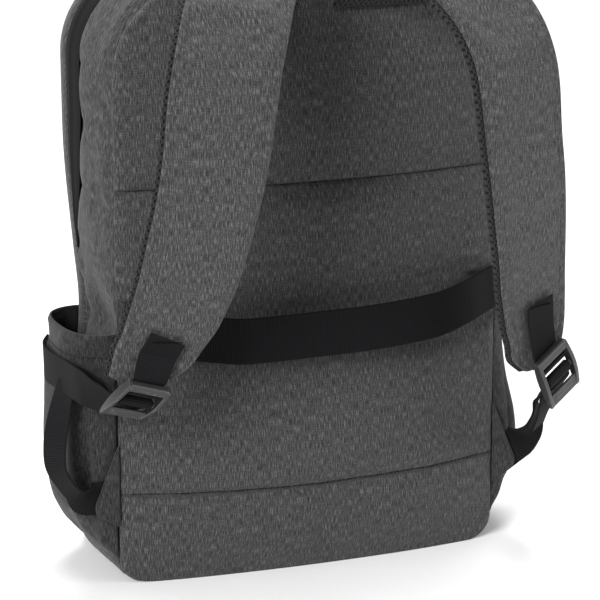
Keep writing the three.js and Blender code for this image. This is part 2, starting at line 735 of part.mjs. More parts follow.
function buckle(side, sign) {
  const middle = webbingWidth / 2 + plateGap + plateThickness / 2;
  const across = 2 * middle;
  const lip = new THREE.BoxGeometry(across, lipDepth, lipThickness);
  lip.translate(0, buckleLength - lipDepth / 2, lipThickness / 2 - lipSink);
  const pieces = [
    sidePlate(-middle),
    sidePlate(middle),
    bar(barRadius, across, 0, 0),
    bar(loopRadius, across, loopAt, loopLift),
    bar(lockRadius, across, lockAt, 0),
    lip,
  ];
  const solid = pieces.map(toManifold).reduce((sum, piece) => sum.add(piece));
  const { at, length, width, out } = buckleFrame(side);
  const matrix = new THREE.Matrix4().makeBasis(width, length, out.clone());
  matrix.setPosition(at);
  const geometry = fromManifold(solid);
  geometry.applyMatrix4(matrix);
  if (sign * matrix.determinant() < 0) geometry.index.array.reverse();
  geometry.scale(sign, 1, 1);
  return geometry;
}

// Anchor tab: a triangle of doubled cloth over the webbing's end, along the panel's side
function anchorTab(sign) {
  const inner = panelWidth / 2 + clearance;
  const shape = new THREE.Shape();
  shape.moveTo(inner, tabBottom + tabHeight);
  shape.lineTo(inner + tabReach, tabBottom + tabHeight * tabTip.high);
  shape.lineTo(inner + tabReach - clearance, tabBottom + tabHeight * tabTip.low);
  shape.lineTo(inner, tabBottom);
  const geometry = new THREE.ExtrudeGeometry(shape, { depth: tabThickness, bevelEnabled: false });
  const back = -rearSeam - 2 * clearance - webbingThickness;
  geometry.rotateX(Math.PI / 2);
  geometry.translate(0, back, 0);
  if (sign < 0) geometry.rotateZ(Math.PI).translate(0, 2 * back - tabThickness, 0);
  return geometry;
}

function grabHandle() {
  const y = -rearSeam + handleWidth / 2 + handleInset;
  const rows = [];
  const add = (x, rise) => rows.push([-0.5, 0.5].map((edge) => {
    const depth = y + edge * handleWidth;
    return new THREE.Vector3(x, depth, topAt(depth) + clearance + rise);
  }));
  const half = handleSpan / 2;
  add(-half - handleFoot, 0);
  for (let k = 0; k <= handleSteps; k += 1) {
    const turn = Math.PI * (1 - k / handleSteps);
    add(half * Math.cos(turn), handleRise * Math.sin(turn) ** handleSquareness);
  }
  add(half + handleFoot, 0);
  const upper = rows.map((row) => row.map((point) => (
    new THREE.Vector3(point.x, point.y, point.z + handleThickness))));
  return slab(upper, rows);
}

// A slider and its pull, one plain piece that lies over the coil
function zipperSlider(sign) {
  const y = frontSeam - clearance - zipperWidth / 2;
  const top = topAt(y) + coilHeight + clearance + sliderThickness;
  const middle = sliderGap + sliderLength / 2;
  const body = new THREE.BoxGeometry(sliderLength, sliderWidth, sliderThickness);
  body.translate(sign * middle, y, top - sliderThickness / 2);
  const pull = new THREE.BoxGeometry(pullLength, pullWidth, pullThickness);
  pull.translate(sign * (middle + pullLength / 2), y, top - pullThickness / 2);
  return fromManifold(toManifold(body).add(toManifold(pull)));
}

const backpack = new THREE.Group();

function add(name, geometry, look) {
  const mesh = new THREE.Mesh(geometry, look);
  mesh.name = name;
  backpack.add(mesh);
}

add('back_panel', backPanel(), heatherCloth);
add('rear_gusset', rearGusset(), heatherCloth);
add('front_shell', frontShell(), heatherCloth);
add('main_zipper', mainZipper(), zipperTape);
add('luggage_strap', luggageStrap(), blackWebbing);
add('grab_handle', grabHandle(), blackWebbing);
for (const [side, sign] of [['left', -1], ['right', 1]]) {
  add(`side_pocket_${side}`, sidePocket(side, sign), heatherCloth);
  add(`shoulder_pad_${side}`, shoulderPad(side, sign), strapCloth);
  add(`pad_mesh_${side}`, padMesh(side, sign), airMesh);
  add(`strap_patch_${side}`, strapPatch(side, sign), blackWebbing);
  add(`buckle_${side}`, buckle(side, sign), bucklePlastic);
  add(`lower_strap_${side}`, lowerStrap(side, sign), blackWebbing);
  add(`anchor_tab_${side}`, anchorTab(sign), heatherCloth);
  add(`zipper_slider_${side}`, zipperSlider(sign), bucklePlastic);
}

export default backpack;
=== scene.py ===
"""The looks of a laptop backpack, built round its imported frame.

Lengths are in millimetres until a mesh is made. +Z is up, -Y is the wearer's side.
"""
import math

import bpy
import numpy as np
from mathutils import Matrix, Vector


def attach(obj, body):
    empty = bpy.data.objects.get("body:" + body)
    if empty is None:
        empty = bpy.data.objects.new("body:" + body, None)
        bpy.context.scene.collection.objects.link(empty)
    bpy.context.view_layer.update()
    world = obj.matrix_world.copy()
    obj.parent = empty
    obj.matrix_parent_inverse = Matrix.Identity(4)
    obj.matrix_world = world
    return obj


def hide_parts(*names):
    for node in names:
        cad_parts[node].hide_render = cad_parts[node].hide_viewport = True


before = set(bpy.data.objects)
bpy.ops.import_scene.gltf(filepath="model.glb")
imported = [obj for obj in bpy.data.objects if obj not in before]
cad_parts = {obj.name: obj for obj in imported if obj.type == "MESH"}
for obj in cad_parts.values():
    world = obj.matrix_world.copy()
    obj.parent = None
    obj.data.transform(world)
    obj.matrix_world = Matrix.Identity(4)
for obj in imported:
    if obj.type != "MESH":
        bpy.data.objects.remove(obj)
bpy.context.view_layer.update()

# Sizes of the bag, the same as the part's
PANEL_WIDTH = 290
BAG_HEIGHT = 435
BAG_DEPTH = 142
REAR_SEAM = 55
FRONT_SEAM = 20
WALL = 3
FRONT_WALL = 4
TOP_CORNER = 65
BOTTOM_CORNER = 18
SIDE_BULGE = 10
TOP_BULGE = 5
FRONT_ROUND = 45
FRONT_CROWN = 6
CLEARANCE = 0.3
PANEL_EDGE = 4
PANEL_PAD = 6
PANEL_BULGE = 28
PANEL_FALLOFF = 2.4
ZIPPER_WIDTH = 26
POCKET_HEIGHT = 165
POCKET_BOTTOM = 19
POCKET_REACH = 28
POCKET_LENGTH = 91
POCKET_MIDDLE = 8
POCKET_WALL = 1.6
POCKET_SQUARENESS = 2.6
LUGGAGE_WIDTH = 33
LUGGAGE_THICKNESS = 1.6
LUGGAGE_STANDOFF = 45
WEBBING_WIDTH = 25
WEBBING_THICKNESS = 1.4
HARNESS_REACH = 125
PAD_WIDTH = 72
PAD_THICKNESS = 12
MESH_PROUD = 2
BUCKLE_LENGTH = 37
BAR_RADIUS = 2.6
LOOP_RADIUS = 1.5
LOCK_RADIUS = 2.2
PLATE_THICKNESS = 3
TAB_THICKNESS = 2
TAB_REACH = 18
TAB_HEIGHT = 60
TAB_BOTTOM = 43.9

MM = 0.001

# How full the bag is, by depth from the rear seam and by height, as shares
FULL_BY_DEPTH = {"back": [0, 0.11, 0.22, 0.34, 1], "full": [0, 0.42, 0.75, 1, 1]}
FULL_BY_HEIGHT = {
    "up": [0, 0.14, 0.3, 0.44, 0.53, 0.7, 0.8, 1],
    "full": [0.3, 0.5, 0.45, 0.15, 0.45, 0.95, 1, 1],
}

# The panel's swelling by height, without the quilted seams, and where those seams are
PANEL_ROWS = {
    "up": [0, 0.03, 0.08, 0.135, 0.175, 0.25, 0.34, 0.41, 0.48,
           0.56, 0.65, 0.69, 0.77, 0.85, 0.92, 0.97, 1],
    "swell": [0.28, 0.5, 0.78, 1, 0.97, 0.82, 0.6, 0.42, 0.46,
              0.64, 0.75, 0.75, 0.72, 0.58, 0.38, 0.16, 0.03],
}
QUILT_SEAMS = [67, 287]

POCKET_ROWS = {
    "up": [0, 0.05, 0.16, 0.35, 0.62, 0.86, 1],
    "left": [0.12, 0.4, 0.7, 0.86, 0.9, 0.95, 1],
    "right": [0.12, 0.4, 0.7, 0.8, 0.52, 0.41, 0.38],
}

LUGGAGE_ROWS = {
    "across": [-0.985, -0.9, -0.68, -0.52, -0.44, -0.1, 0.25, 0.53, 0.61, 0.78, 0.93, 0.985],
    "off": [0.14, 0.3, 0.66, 0.92, 1, 0.99, 0.99, 1, 0.93, 0.64, 0.27, 0.14],
    "up": [0.439, 0.434, 0.426, 0.422, 0.421, 0.421, 0.424, 0.433, 0.436, 0.443, 0.448, 0.449],
}

# Shoulder strap, middle of its outer face: out in half panels, off in harness reaches, up in bag
# heights, turn in degrees, width and thickness as shares
PAD_ROWS = [
    # out, off, up, turn, width, thick
    (0.35, 0.1, 0.945, 0, 1, 0.5),
    (0.36, 0.15, 0.975, 0, 1, 0.7),
    (0.39, 0.26, 1.008, 3, 1, 0.9),
    (0.44, 0.42, 1.027, 6, 1.01, 1),
    (0.51, 0.6, 1.018, 9, 1.02, 1),
    (0.6, 0.78, 0.985, 12, 1.02, 1),
    (0.67, 0.91, 0.94, 15, 1.01, 1),
    (0.721, 0.972, 0.887, 17, 1, 1),
    (0.747, 0.988, 0.839, 18.1, 1, 1),
    (0.776, 0.981, 0.759, 18.8, 0.975, 1),
    (0.809, 0.962, 0.69, 19, 0.958, 1),
    (0.847, 0.912, 0.621, 20.5, 0.946, 1),
    (0.887, 0.85, 0.552, 22.5, 0.924, 1),
    (0.927, 0.769, 0.494, 22, 0.887, 1),
    (0.946, 0.734, 0.471, 22, 0.858, 1),
]
PAD_ENDS = {
    "right": [
        (0.975, 0.684, 0.43, 22, 0.81, 0.95),
        (0.993, 0.656, 0.395, 21, 0.71, 0.85),
        (0.995, 0.64, 0.368, 19, 0.62, 0.7),
        (1.0, 0.632, 0.347, 18, 0.34, 0.5),
    ],
    "left": [
        (0.982, 0.668, 0.437, 20, 0.81, 0.95),
        (1.005, 0.645, 0.418, 18, 0.75, 0.85),
        (1.032, 0.628, 0.403, 16, 0.66, 0.7),
        (1.036, 0.624, 0.396, 16, 0.46, 0.5),
    ],
}
PATCH_START = 14
PATCH_ROWS = 2
PATCH_LIFT = 0.8

# Buckles: the bar's place, and the directions along the buckle and across it
BUCKLES = {
    "right": {"bar": (1.037, 0.688, 0.373), "along": (0.42, 0.19, -0.89), "across": (0.84, 0.35, 0.41)},
    "left": {"bar": (1.037, 0.688, 0.389), "along": (0.31, 0.69, -0.65), "across": (0.92, -0.1, 0.28)},
}
LOCK_AT = 0.46 * BUCKLE_LENGTH
LOOP_AT = 6.9

# Free runs of the lower webbing: out, off, up as above, then the direction of the width. The sewn
# rows lie behind the tab: shares of its reach and height, then the direction of the width.
LOWER_RUNS = {
    "right": {
        "sewn": [(0.42, 0.28, (0.5, 0, -0.87))],
        "load": [
            (1.130, 0.008, 0.156, (0.5, 0, -0.87)),
            (1.140, 0.052, 0.170, (0.5, 0.2, -0.8)),
            (1.123, 0.152, 0.191, (0.55, 0.45, -0.65)),
            (1.099, 0.256, 0.213, (0.55, 0.65, -0.5)),
            (1.077, 0.352, 0.236, (0.5, 0.8, -0.3)),
            (1.063, 0.424, 0.256, (0.45, 0.88, -0.1)),
            (1.054, 0.488, 0.276, (0.5, 0.85, 0)),
            (1.061, 0.528, 0.295, (0.7, 0.6, 0.15)),
        ],
        "tail": [
            (1.088, 0.576, 0.297, (0.84, 0.35, 0.3)),
            (1.074, 0.560, 0.279, (0.7, 0.6, -0.05)),
            (1.057, 0.544, 0.257, (0.61, 0.75, -0.24)),
            (1.043, 0.528, 0.239, (0.61, 0.75, -0.24)),
        ],
    },
    "left": {
        "sewn": [(0.1, 0.37, (0, 0, -1)), (0.6, 0.37, (0, 0, -1))],
        "load": [
            (1.145, 0.012, 0.153, (0, 0.1, -1)),
            (1.190, 0.030, 0.156, (0.05, 0.4, -0.85)),
            (1.238, 0.030, 0.166, (0.15, 0.8, -0.45)),
            (1.279, 0.000, 0.185, (0.3, 0.92, -0.15)),
            (1.307, -0.040, 0.209, (0.36, 0.93, 0)),
            (1.303, -0.072, 0.244, (0.36, 0.93, 0)),
            (1.276, -0.104, 0.280, (0.36, 0.93, 0)),
            (1.248, -0.112, 0.317, (0.2, 0.93, 0.1)),
            (1.231, -0.064, 0.345, (0, 0.7, 0.7)),
            (1.221, 0.040, 0.356, (0, 0.1, 1)),
            (1.197, 0.200, 0.359, (0, 0, 1)),
            (1.159, 0.352, 0.359, (0.3, 0, 0.95)),
            (1.117, 0.440, 0.358, (0.7, -0.1, 0.7)),
        ],
        "tail": [
            (1.134, 0.440, 0.351, (0.6, -0.1, 0.75)),
            (1.190, 0.344, 0.354, (0.3, -0.05, 0.95)),
            (1.234, 0.200, 0.360, (0, 0, 1)),
            (1.241, -0.080, 0.356, (0, 0, 1)),
            (1.245, -0.320, 0.351, (0, 0, 1)),
            (1.238, -0.480, 0.347, (0, 0, 1)),
            (1.214, -0.616, 0.347, (0, 0.1, 1)),
            (1.155, -0.736, 0.349, (0, 0.2, 1)),
        ],
    },
}


# Camera

def make_camera(target, azimuth, elevation, distance, lens):
    """The photograph's camera: azimuth 0 looks along +Y, and elevation is above the floor."""
    a, e = math.radians(azimuth), math.radians(elevation)
    back = Vector((math.sin(a) * math.cos(e), -math.cos(a) * math.cos(e), math.sin(e)))
    right = Vector((math.cos(a), math.sin(a), 0))
    camera = bpy.data.objects.new("camera", bpy.data.cameras.new("camera"))
    camera.data.lens = lens
    camera.data.sensor_width = 36
    turn = Matrix((right, back.cross(right), back)).transposed()
    camera.matrix_world = Matrix.Translation(Vector(target) + back * distance) @ turn.to_4x4()
    bpy.context.scene.collection.objects.link(camera)
    bpy.context.scene.camera = camera


make_camera((0.010, -0.010, 0.1845), -21, 14.5, 2.055, 168)


# Materials

def linear(code, alpha=1.0):
    """An sRGB colour such as "4a4a4c" as linear red, green, blue and alpha."""
    parts = [int(code[i:i + 2], 16) / 255 for i in (0, 2, 4)]
    return [c / 12.92 if c <= 0.04045 else ((c + 0.055) / 1.055) ** 2.4 for c in parts] + [alpha]


def node(tree, kind, inputs=None, out=0, stops=(), **settings):
    """Adds a node and returns its output out.

    inputs maps a socket's name or number to a value or to another node's output. stops are the
    places and hex colours of a colour ramp.
    """
    made = tree.nodes.new("ShaderNode" + kind)
    for key, value in settings.items():
        setattr(made, key, value)
    for key, value in (inputs or {}).items():
        if isinstance(value, bpy.types.NodeSocket):
            tree.links.new(value, made.inputs[key])
        else:
            made.inputs[key].default_value = value
    for number, (spot, code) in enumerate(stops):
        elements = made.color_ramp.elements
        element = elements[number] if number < len(elements) else elements.new(spot)
        element.position = spot
        element.color = linear(code)
    return made.outputs[out] if made.outputs else None


def begin(name, of_cloth=True):
    """A new material, its tree, and where a point is in millimetres: on the flat cloth or in space."""
    made = bpy.data.materials.new(name)
    made.use_nodes = True
    tree = made.node_tree
    tree.nodes.clear()
    at = node(tree, "UVMap", uv_map="flat") if of_cloth else node(tree, "TexCoord", out="Object")
    return made, tree, node(tree, "VectorMath", {0: at, 3: 1000.0}, operation="SCALE")


def finish(tree, colour, normal=None, roughness=0.9, gloss=0.2, sheen=0.0):
    """The surface itself, from its colour, its bump and how it shines."""
    inputs = {"Base Color": colour, "Roughness": roughness, "Specular IOR Level": gloss,
              "Sheen Weight": sheen}
    if normal is not None:
        inputs["Normal"] = normal
    shader = node(tree, "BsdfPrincipled", inputs)
    node(tree, "OutputMaterial", {"Surface": shader})


def spots(tree, at, size, detail=1.0):
    """Uneven spots of a size given in millimetres across, along and through, from 0 to 1."""
    sized = node(tree, "VectorMath", {0: at, 1: [1 / s for s in size]}, operation="MULTIPLY")
    return node(tree, "TexNoise", {"Vector": sized, "Scale": 1.0, "Detail": detail})


def mixture(tree, parts):
    """The sum of (output, weight) pairs."""
    total = 0.0
    for part, weight in reversed(parts):
        total = node(tree, "Math", {0: part, 1: weight, 2: total}, operation="MULTIPLY_ADD")
    return total


def waves(tree, value, pitch):
    """A sine over a length in millimetres, once for every pitch."""
    turns = node(tree, "Math", {0: value, 1: 2 * math.pi / pitch}, operation="MULTIPLY")
    return node(tree, "Math", {0: turns}, operation="SINE")


def heather(name, dark, middle, light):
    """Heather polyester, plain woven from yarns of two greys: mottled, streaked along the warp, dull.

    The real yarns are about 0.2 mm, too fine to show, so they are drawn 0.5 to 0.8 mm wide.
    """
    made, tree, flat = begin(name)
    slubs = spots(tree, flat, (0.6, 6, 1))
    picks = spots(tree, flat, (6, 0.7, 1))
    grain = spots(tree, flat, (0.5, 0.8, 1))
    patches = spots(tree, flat, (40, 60, 1))
    yarns = mixture(tree, [(slubs, 0.55), (picks, 0.15), (grain, 0.3)])
    colour = node(tree, "ValToRGB", {0: yarns}, stops=[(0.34, dark), (0.5, middle), (0.66, light)])
    darkening = node(tree, "Math", {0: patches, 1: 0.07, 2: 0.93}, operation="MULTIPLY_ADD")
    colour = node(tree, "VectorMath", {0: colour, 3: darkening}, operation="SCALE")
    across = node(tree, "SeparateXYZ", {0: flat}, out=0)
    along = node(tree, "SeparateXYZ", {0: flat}, out=1)
    weave_pitch = 0.9
    weave = node(tree, "Math", {0: waves(tree, across, weave_pitch), 1: waves(tree, along, weave_pitch)},
                 operation="MULTIPLY")
    height = mixture(tree, [(yarns, 2.5), (weave, 0.5)])
    normal = node(tree, "Bump", {"Height": height, "Strength": 0.45, "Distance": 0.0003})
    finish(tree, colour, normal, roughness=0.95, sheen=0.1)
    return made


def webbing(name, dark, light, rib_pitch):
    """Nylon webbing: close ribs across it from the thick weft, nearly black, with a faint gleam.

    The real ribs are about 1 mm apart and are drawn a little coarser.
    """
    made, tree, flat = begin(name)
    across = node(tree, "SeparateXYZ", {0: flat}, out=0)
    along = node(tree, "SeparateXYZ", {0: flat}, out=1)
    along = mixture(tree, [(spots(tree, flat, (6, 3, 1), detail=2), 0.35), (along, 1.0)])
    ribs = node(tree, "Math", {0: waves(tree, along, rib_pitch), 1: 0.5, 2: 0.5}, operation="MULTIPLY_ADD")
    fuzz = spots(tree, flat, (0.5, 2.5, 1), detail=2)
    weft = mixture(tree, [(ribs, 0.55), (fuzz, 0.45)])
    colour = node(tree, "ValToRGB", {0: weft}, stops=[(0.2, dark), (0.75, light)])
    height = mixture(tree, [(waves(tree, across, 0.8), 0.12), (weft, 1.0)])
    normal = node(tree, "Bump", {"Height": height, "Strength": 0.6, "Distance": 0.0004})
    finish(tree, colour, normal, roughness=0.8, gloss=0.1)
    return made


def spacer_mesh(name):
    """Polyester air-mesh, warp knitted: rows of small dark openings, longer than wide, 2.4 mm apart."""
    made, tree, flat = begin(name)
    pitch = 2.4
    sized = node(tree, "VectorMath", {0: flat, 1: (1 / pitch, 0.62 / pitch, 1)}, operation="MULTIPLY")
    turned = node(tree, "VectorRotate", {"Vector": sized, "Angle": math.radians(45)}, rotation_type="Z_AXIS")
    distance = node(tree, "TexVoronoi", {"Vector": turned, "Scale": 1.0, "Randomness": 0.12}, out="Distance")
    rim = node(tree, "MapRange", {"Value": distance, "From Min": 0.2, "From Max": 0.42})
    knit = node(tree, "Math", {0: spots(tree, flat, (0.5, 0.5, 1), detail=2), 1: 0.8, 2: 0.5},
                operation="MULTIPLY_ADD")
    threads = node(tree, "Math", {0: rim, 1: knit}, operation="MULTIPLY")
    colour = node(tree, "ValToRGB", {0: threads}, stops=[(0.0, "030303"), (0.35, "0e0e0f"), (1.0, "303032")])
    normal = node(tree, "Bump", {"Height": threads, "Strength": 0.9, "Distance": 0.0012})
    finish(tree, colour, normal, roughness=0.8, sheen=0.03)
    return made


def acetal(name, base, roughness):
    """Moulded acetal: satin, with a fine even grain, a little paler along its edges as a painted highlight on
    the rims.
    """
    made, tree, at = begin(name, of_cloth=False)
    grain = spots(tree, at, (0.35, 0.35, 0.35), detail=2)
    stain = spots(tree, at, (9, 9, 9), detail=3)
    edges = node(tree, "NewGeometry", out="Pointiness")
    # Paler on sharp edges: a painted highlight along the rims
    painted_rim_highlight = node(tree, "MapRange", {"Value": edges, "From Min": 0.5, "From Max": 0.62, "To Max": 0.35})
    colour = node(tree, "Mix", {0: painted_rim_highlight, 6: linear(base), 7: linear("8a8a8c")}, out=2, data_type="RGBA")
    darkening = node(tree, "Math", {0: stain, 1: 0.2, 2: 0.8}, operation="MULTIPLY_ADD")
    colour = node(tree, "VectorMath", {0: colour, 3: darkening}, operation="SCALE")
    dull = node(tree, "Math", {0: stain, 1: 0.18, 2: roughness - 0.09}, operation="MULTIPLY_ADD")
    normal = node(tree, "Bump", {"Height": grain, "Strength": 0.15, "Distance": 0.0001})
    finish(tree, colour, normal, roughness=dull, gloss=0.5)
    return made


def tape(name):
    """Reversed coil zipper: smooth twill tape, the coil felt as fine teeth on its middle ridge."""
    made, tree, flat = begin(name)
    across = node(tree, "SeparateXYZ", {0: flat}, out=0)
    along = node(tree, "SeparateXYZ", {0: flat}, out=1)
    diagonal = node(tree, "Math", {0: across, 1: along}, operation="ADD")
    from_edge = node(tree, "Math", {0: across, 1: ZIPPER_WIDTH / 2}, operation="SUBTRACT")
    middle = node(tree, "Math", {0: from_edge}, operation="ABSOLUTE")
    near = node(tree, "MapRange", {"Value": middle, "From Min": 3.4, "From Max": 2.4})
    slit = node(tree, "MapRange", {"Value": middle, "From Min": 0.15, "From Max": 0.55})
    teeth = node(tree, "Math", {0: near, 1: waves(tree, along, 1.6)}, operation="MULTIPLY")
    height = mixture(tree, [(slit, 1.5), (teeth, 0.7), (waves(tree, diagonal, 0.9), 0.2)])
    fuzz = spots(tree, flat, (0.6, 0.9, 1), detail=2)
    colour = node(tree, "ValToRGB", {0: fuzz}, stops=[(0.3, "0e0e0f"), (0.7, "202022")])
    # Much darker along the middle slit: painted shade in the gap between the two tapes
    darkening = node(tree, "Math", {0: slit, 1: 0.75, 2: 0.25}, operation="MULTIPLY_ADD")
    colour = node(tree, "VectorMath", {0: colour, 3: darkening}, operation="SCALE")
    normal = node(tree, "Bump", {"Height": height, "Strength": 0.5, "Distance": 0.0005})
    finish(tree, colour, normal, roughness=0.75, gloss=0.1)
    return made


def thread(name, code):
    """Bonded nylon sewing thread: twisted, so unevenly shaded."""
    made, tree, at = begin(name, of_cloth=False)
    twist = spots(tree, at, (0.4, 0.4, 0.4), detail=2)
    colour = node(tree, "ValToRGB", {0: twist}, stops=[(0.3, "060607"), (0.7, code)])
    finish(tree, colour, roughness=0.85, gloss=0.1)
    return made


panel_cloth = heather("heather_back_panel", "1a1a1b", "353536", "5d5d5e")
bag_cloth = heather("heather_bag", "1b1b1c", "383839", "606061")
strap_cloth = heather("heather_straps", "1d1d1e", "393939", "616162")
pocket_cloth = heather("heather_pockets", "121213", "272728", "464647")
# Darker heather for the pockets' inner skins: a dark lining, made darker still as painted shade inside the
# pockets
lining_with_painted_shade = heather("pocket_lining_painted_shade", "0a0a0b", "141415", "202021")
ribbed_webbing = webbing("webbing_luggage", "020203", "131315", rib_pitch=1.6)
plain_webbing = webbing("webbing_straps", "050506", "19191b", rib_pitch=1.5)
air_mesh = spacer_mesh("air_mesh")
buckle_plastic = acetal("buckle_plastic", "1e1e20", roughness=0.38)
slider_plastic = acetal("slider_enamel", "232325", roughness=0.35)
zipper_tape = tape("zipper_tape")
dark_thread = thread("dark_thread", "0c0c0d")
grey_thread = thread("grey_thread", "5c5c5e")


# Surfaces as grids of points

def unit(v):
    return v / np.maximum(np.linalg.norm(v, axis=-1, keepdims=True), 1e-9)


def curve(at, xs, ys):
    """A smooth curve through a short table."""
    xs, ys = np.asarray(xs, float), np.asarray(ys, float)
    slope = np.gradient(ys, xs)
    at = np.clip(at, xs[0], xs[-1])
    i = np.clip(np.searchsorted(xs, at, side="right") - 1, 0, len(xs) - 2)
    w = xs[i + 1] - xs[i]
    t = (at - xs[i]) / w
    return ((2 * t**3 - 3 * t**2 + 1) * ys[i] + (t**3 - 2 * t**2 + t) * w * slope[i]
            + (3 * t**2 - 2 * t**3) * ys[i + 1] + (t**3 - t**2) * w * slope[i + 1])


def step(at, low, high):
    """0 below low, 1 above high, and smooth between."""
    t = np.clip((at - low) / (high - low), 0, 1)
    return t * t * (3 - 2 * t)


def bell(at, middle, width):
    return np.exp(-((at - middle) / width) ** 2)


def normals(grid):
    """Unit normals of a grid of points, columns crossed with rows."""
    down = np.gradient(grid, axis=0)
    across = np.gradient(grid, axis=1)
    return unit(np.cross(across, down))


def lengths(grid, axis):
    """Distance along an axis of a grid, from its first line."""
    pieces = np.linalg.norm(np.diff(grid, axis=axis), axis=-1)
    start_line = np.zeros_like(np.take(pieces, [0], axis=axis))
    return np.concatenate([start_line, np.cumsum(pieces, axis=axis)], axis=axis)


def make_mesh(name, points, faces, flat=None, looks=(), replaced=(), smooth=True):
    """A mesh object from points in millimetres, riding on the bag."""
    data = bpy.data.meshes.new(name)
    data.from_pydata((np.asarray(points) * MM).tolist(), [], [list(f) for f in faces])
    data.validate()
    if flat is not None:
        layer = data.uv_layers.new(name="flat")
        corners = np.zeros(len(data.loops), np.int32)
        data.loops.foreach_get("vertex_index", corners)
        layer.data.foreach_set("uv", (np.asarray(flat)[corners] * MM).astype(np.float32).ravel())
    for look in looks:
        data.materials.append(look)
    data.polygons.foreach_set("use_smooth", [smooth] * len(data.polygons))
    made = bpy.data.objects.new(name, data)
    bpy.context.scene.collection.objects.link(made)
    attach(made, "root")
    if replaced:
        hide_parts(*replaced)
    return made


def slab(outer, inner, flat):
    """Two skins of one grid, joined along the borders: points, faces and cloth coordinates."""
    rows, columns = outer.shape[:2]
    points = np.concatenate([outer.reshape(-1, 3), inner.reshape(-1, 3)])
    both = np.concatenate([flat.reshape(-1, 2)] * 2)
    number = np.arange(rows * columns).reshape(rows, columns)
    a, b, c, d = number[:-1, :-1], number[:-1, 1:], number[1:, 1:], number[1:, :-1]
    front = np.stack([a, b, c, d], -1).reshape(-1, 4)
    back = front[:, ::-1] + rows * columns
    loop = np.concatenate([number[0, :], number[1:, -1], number[-1, -2::-1], number[-2:0:-1, 0]])
    after = np.roll(loop, -1)
    shift = rows * columns
    rim = np.stack([after, loop, loop + shift, after + shift], -1)
    faces = np.concatenate([front, back, rim])
    p = points[faces]
    volume = np.einsum("ij,ij->i", p[:, 0], np.cross(p[:, 1], p[:, 2])).sum()
    volume += np.einsum("ij,ij->i", p[:, 0], np.cross(p[:, 2], p[:, 3])).sum()
    return points, faces if volume > 0 else faces[:, ::-1], both


def billow(grid, held, pressure, slack, cap, stiffness=8.0, frames=18):
    """Cloth simulation: the grid, cut larger by slack, fills out while its held points stay.

    Returns the settled points; no point moves more than cap.
    """
    rows, columns = grid.shape[:2]
    number = np.arange(rows * columns).reshape(rows, columns)
    faces = np.stack([number[:-1, :-1], number[:-1, 1:], number[1:, 1:], number[1:, :-1]], -1).reshape(-1, 4)
    data = bpy.data.meshes.new("settling")
    data.from_pydata((grid.reshape(-1, 3) * MM).tolist(), [], faces.tolist())
    cloth = bpy.data.objects.new("settling", data)
    bpy.context.scene.collection.objects.link(cloth)
    group = cloth.vertex_groups.new(name="held")
    group.add([int(i) for i in np.flatnonzero(held.ravel())], 1.0, "REPLACE")
    settings = cloth.modifiers.new("Cloth", "CLOTH").settings
    settings.vertex_group_mass = "held"
    settings.quality = 5
    settings.mass = 0.15
    settings.tension_stiffness = stiffness
    settings.compression_stiffness = stiffness
    settings.shear_stiffness = stiffness / 2
    settings.bending_stiffness = 0.4
    settings.use_pressure = True
    settings.uniform_pressure_force = pressure
    settings.shrink_min = -slack
    settings.effector_weights.gravity = 0
    scene = bpy.context.scene
    for moment in range(1, frames + 1):
        scene.frame_set(moment)
    settled = cloth.evaluated_get(bpy.context.evaluated_depsgraph_get()).data
    out = np.zeros(rows * columns * 3, np.float32)
    settled.vertices.foreach_get("co", out)
    moved = out.reshape(rows, columns, 3) / MM - grid
    size = np.linalg.norm(moved, axis=-1, keepdims=True)
    moved *= np.minimum(1, cap / np.maximum(size, 1e-6))
    bpy.data.objects.remove(cloth)
    bpy.data.meshes.remove(data)
    scene.frame_set(1)
    return grid + moved


def stitches(name, lines, look, length=2.8, gap=1.5, radius=0.3):
    """Rows of stitches as one mesh. Each line is (points, outward normals)."""
    points, faces = [], []
    for path, outward in lines:
        run = np.concatenate([[0], np.cumsum(np.linalg.norm(np.diff(path, axis=0), axis=1))])
        count = int(run[-1] // (length + gap))
        for k in range(count):
            at = k * (length + gap) + gap / 2
            ends = [at, at + length * 0.5, at + length]
            middle = np.stack([np.interp(ends, run, path[:, i]) for i in range(3)], -1)
            up = unit(np.array([np.interp(at, run, outward[:, i]) for i in range(3)]))
            along = unit(middle[2] - middle[0])
            side = np.cross(along, up)
            base = len(points)
            for centre, thick, lift in zip(middle, (0.35, 1, 0.35), (-0.6, 0.55, -0.6)):
                for turn in range(6):
                    angle = turn * math.pi / 3
                    points.append(centre + up * radius * (lift + thick * math.sin(angle))
                                  + side * radius * thick * math.cos(angle))
            for ring_at in (0, 6):
                for turn in range(6):
                    a, b = base + ring_at + turn, base + ring_at + (turn + 1) % 6
                    faces.append((a, b, b + 6, a + 6))
            faces.append(tuple(base + i for i in range(5, -1, -1)))
            faces.append(tuple(base + 12 + i for i in range(6)))
    return make_mesh(name, points, faces, looks=[look])


# The bag's outline

def fullness(y):
    return curve((y + REAR_SEAM) / BAG_DEPTH, FULL_BY_DEPTH["back"], FULL_BY_DEPTH["full"])


def side_half(y, z):
    return PANEL_WIDTH / 2 + SIDE_BULGE * fullness(y) * curve(z / BAG_HEIGHT, FULL_BY_HEIGHT["up"],
                                                             FULL_BY_HEIGHT["full"])


def top_at(y):
    return BAG_HEIGHT - TOP_BULGE * (1 - fullness(y))


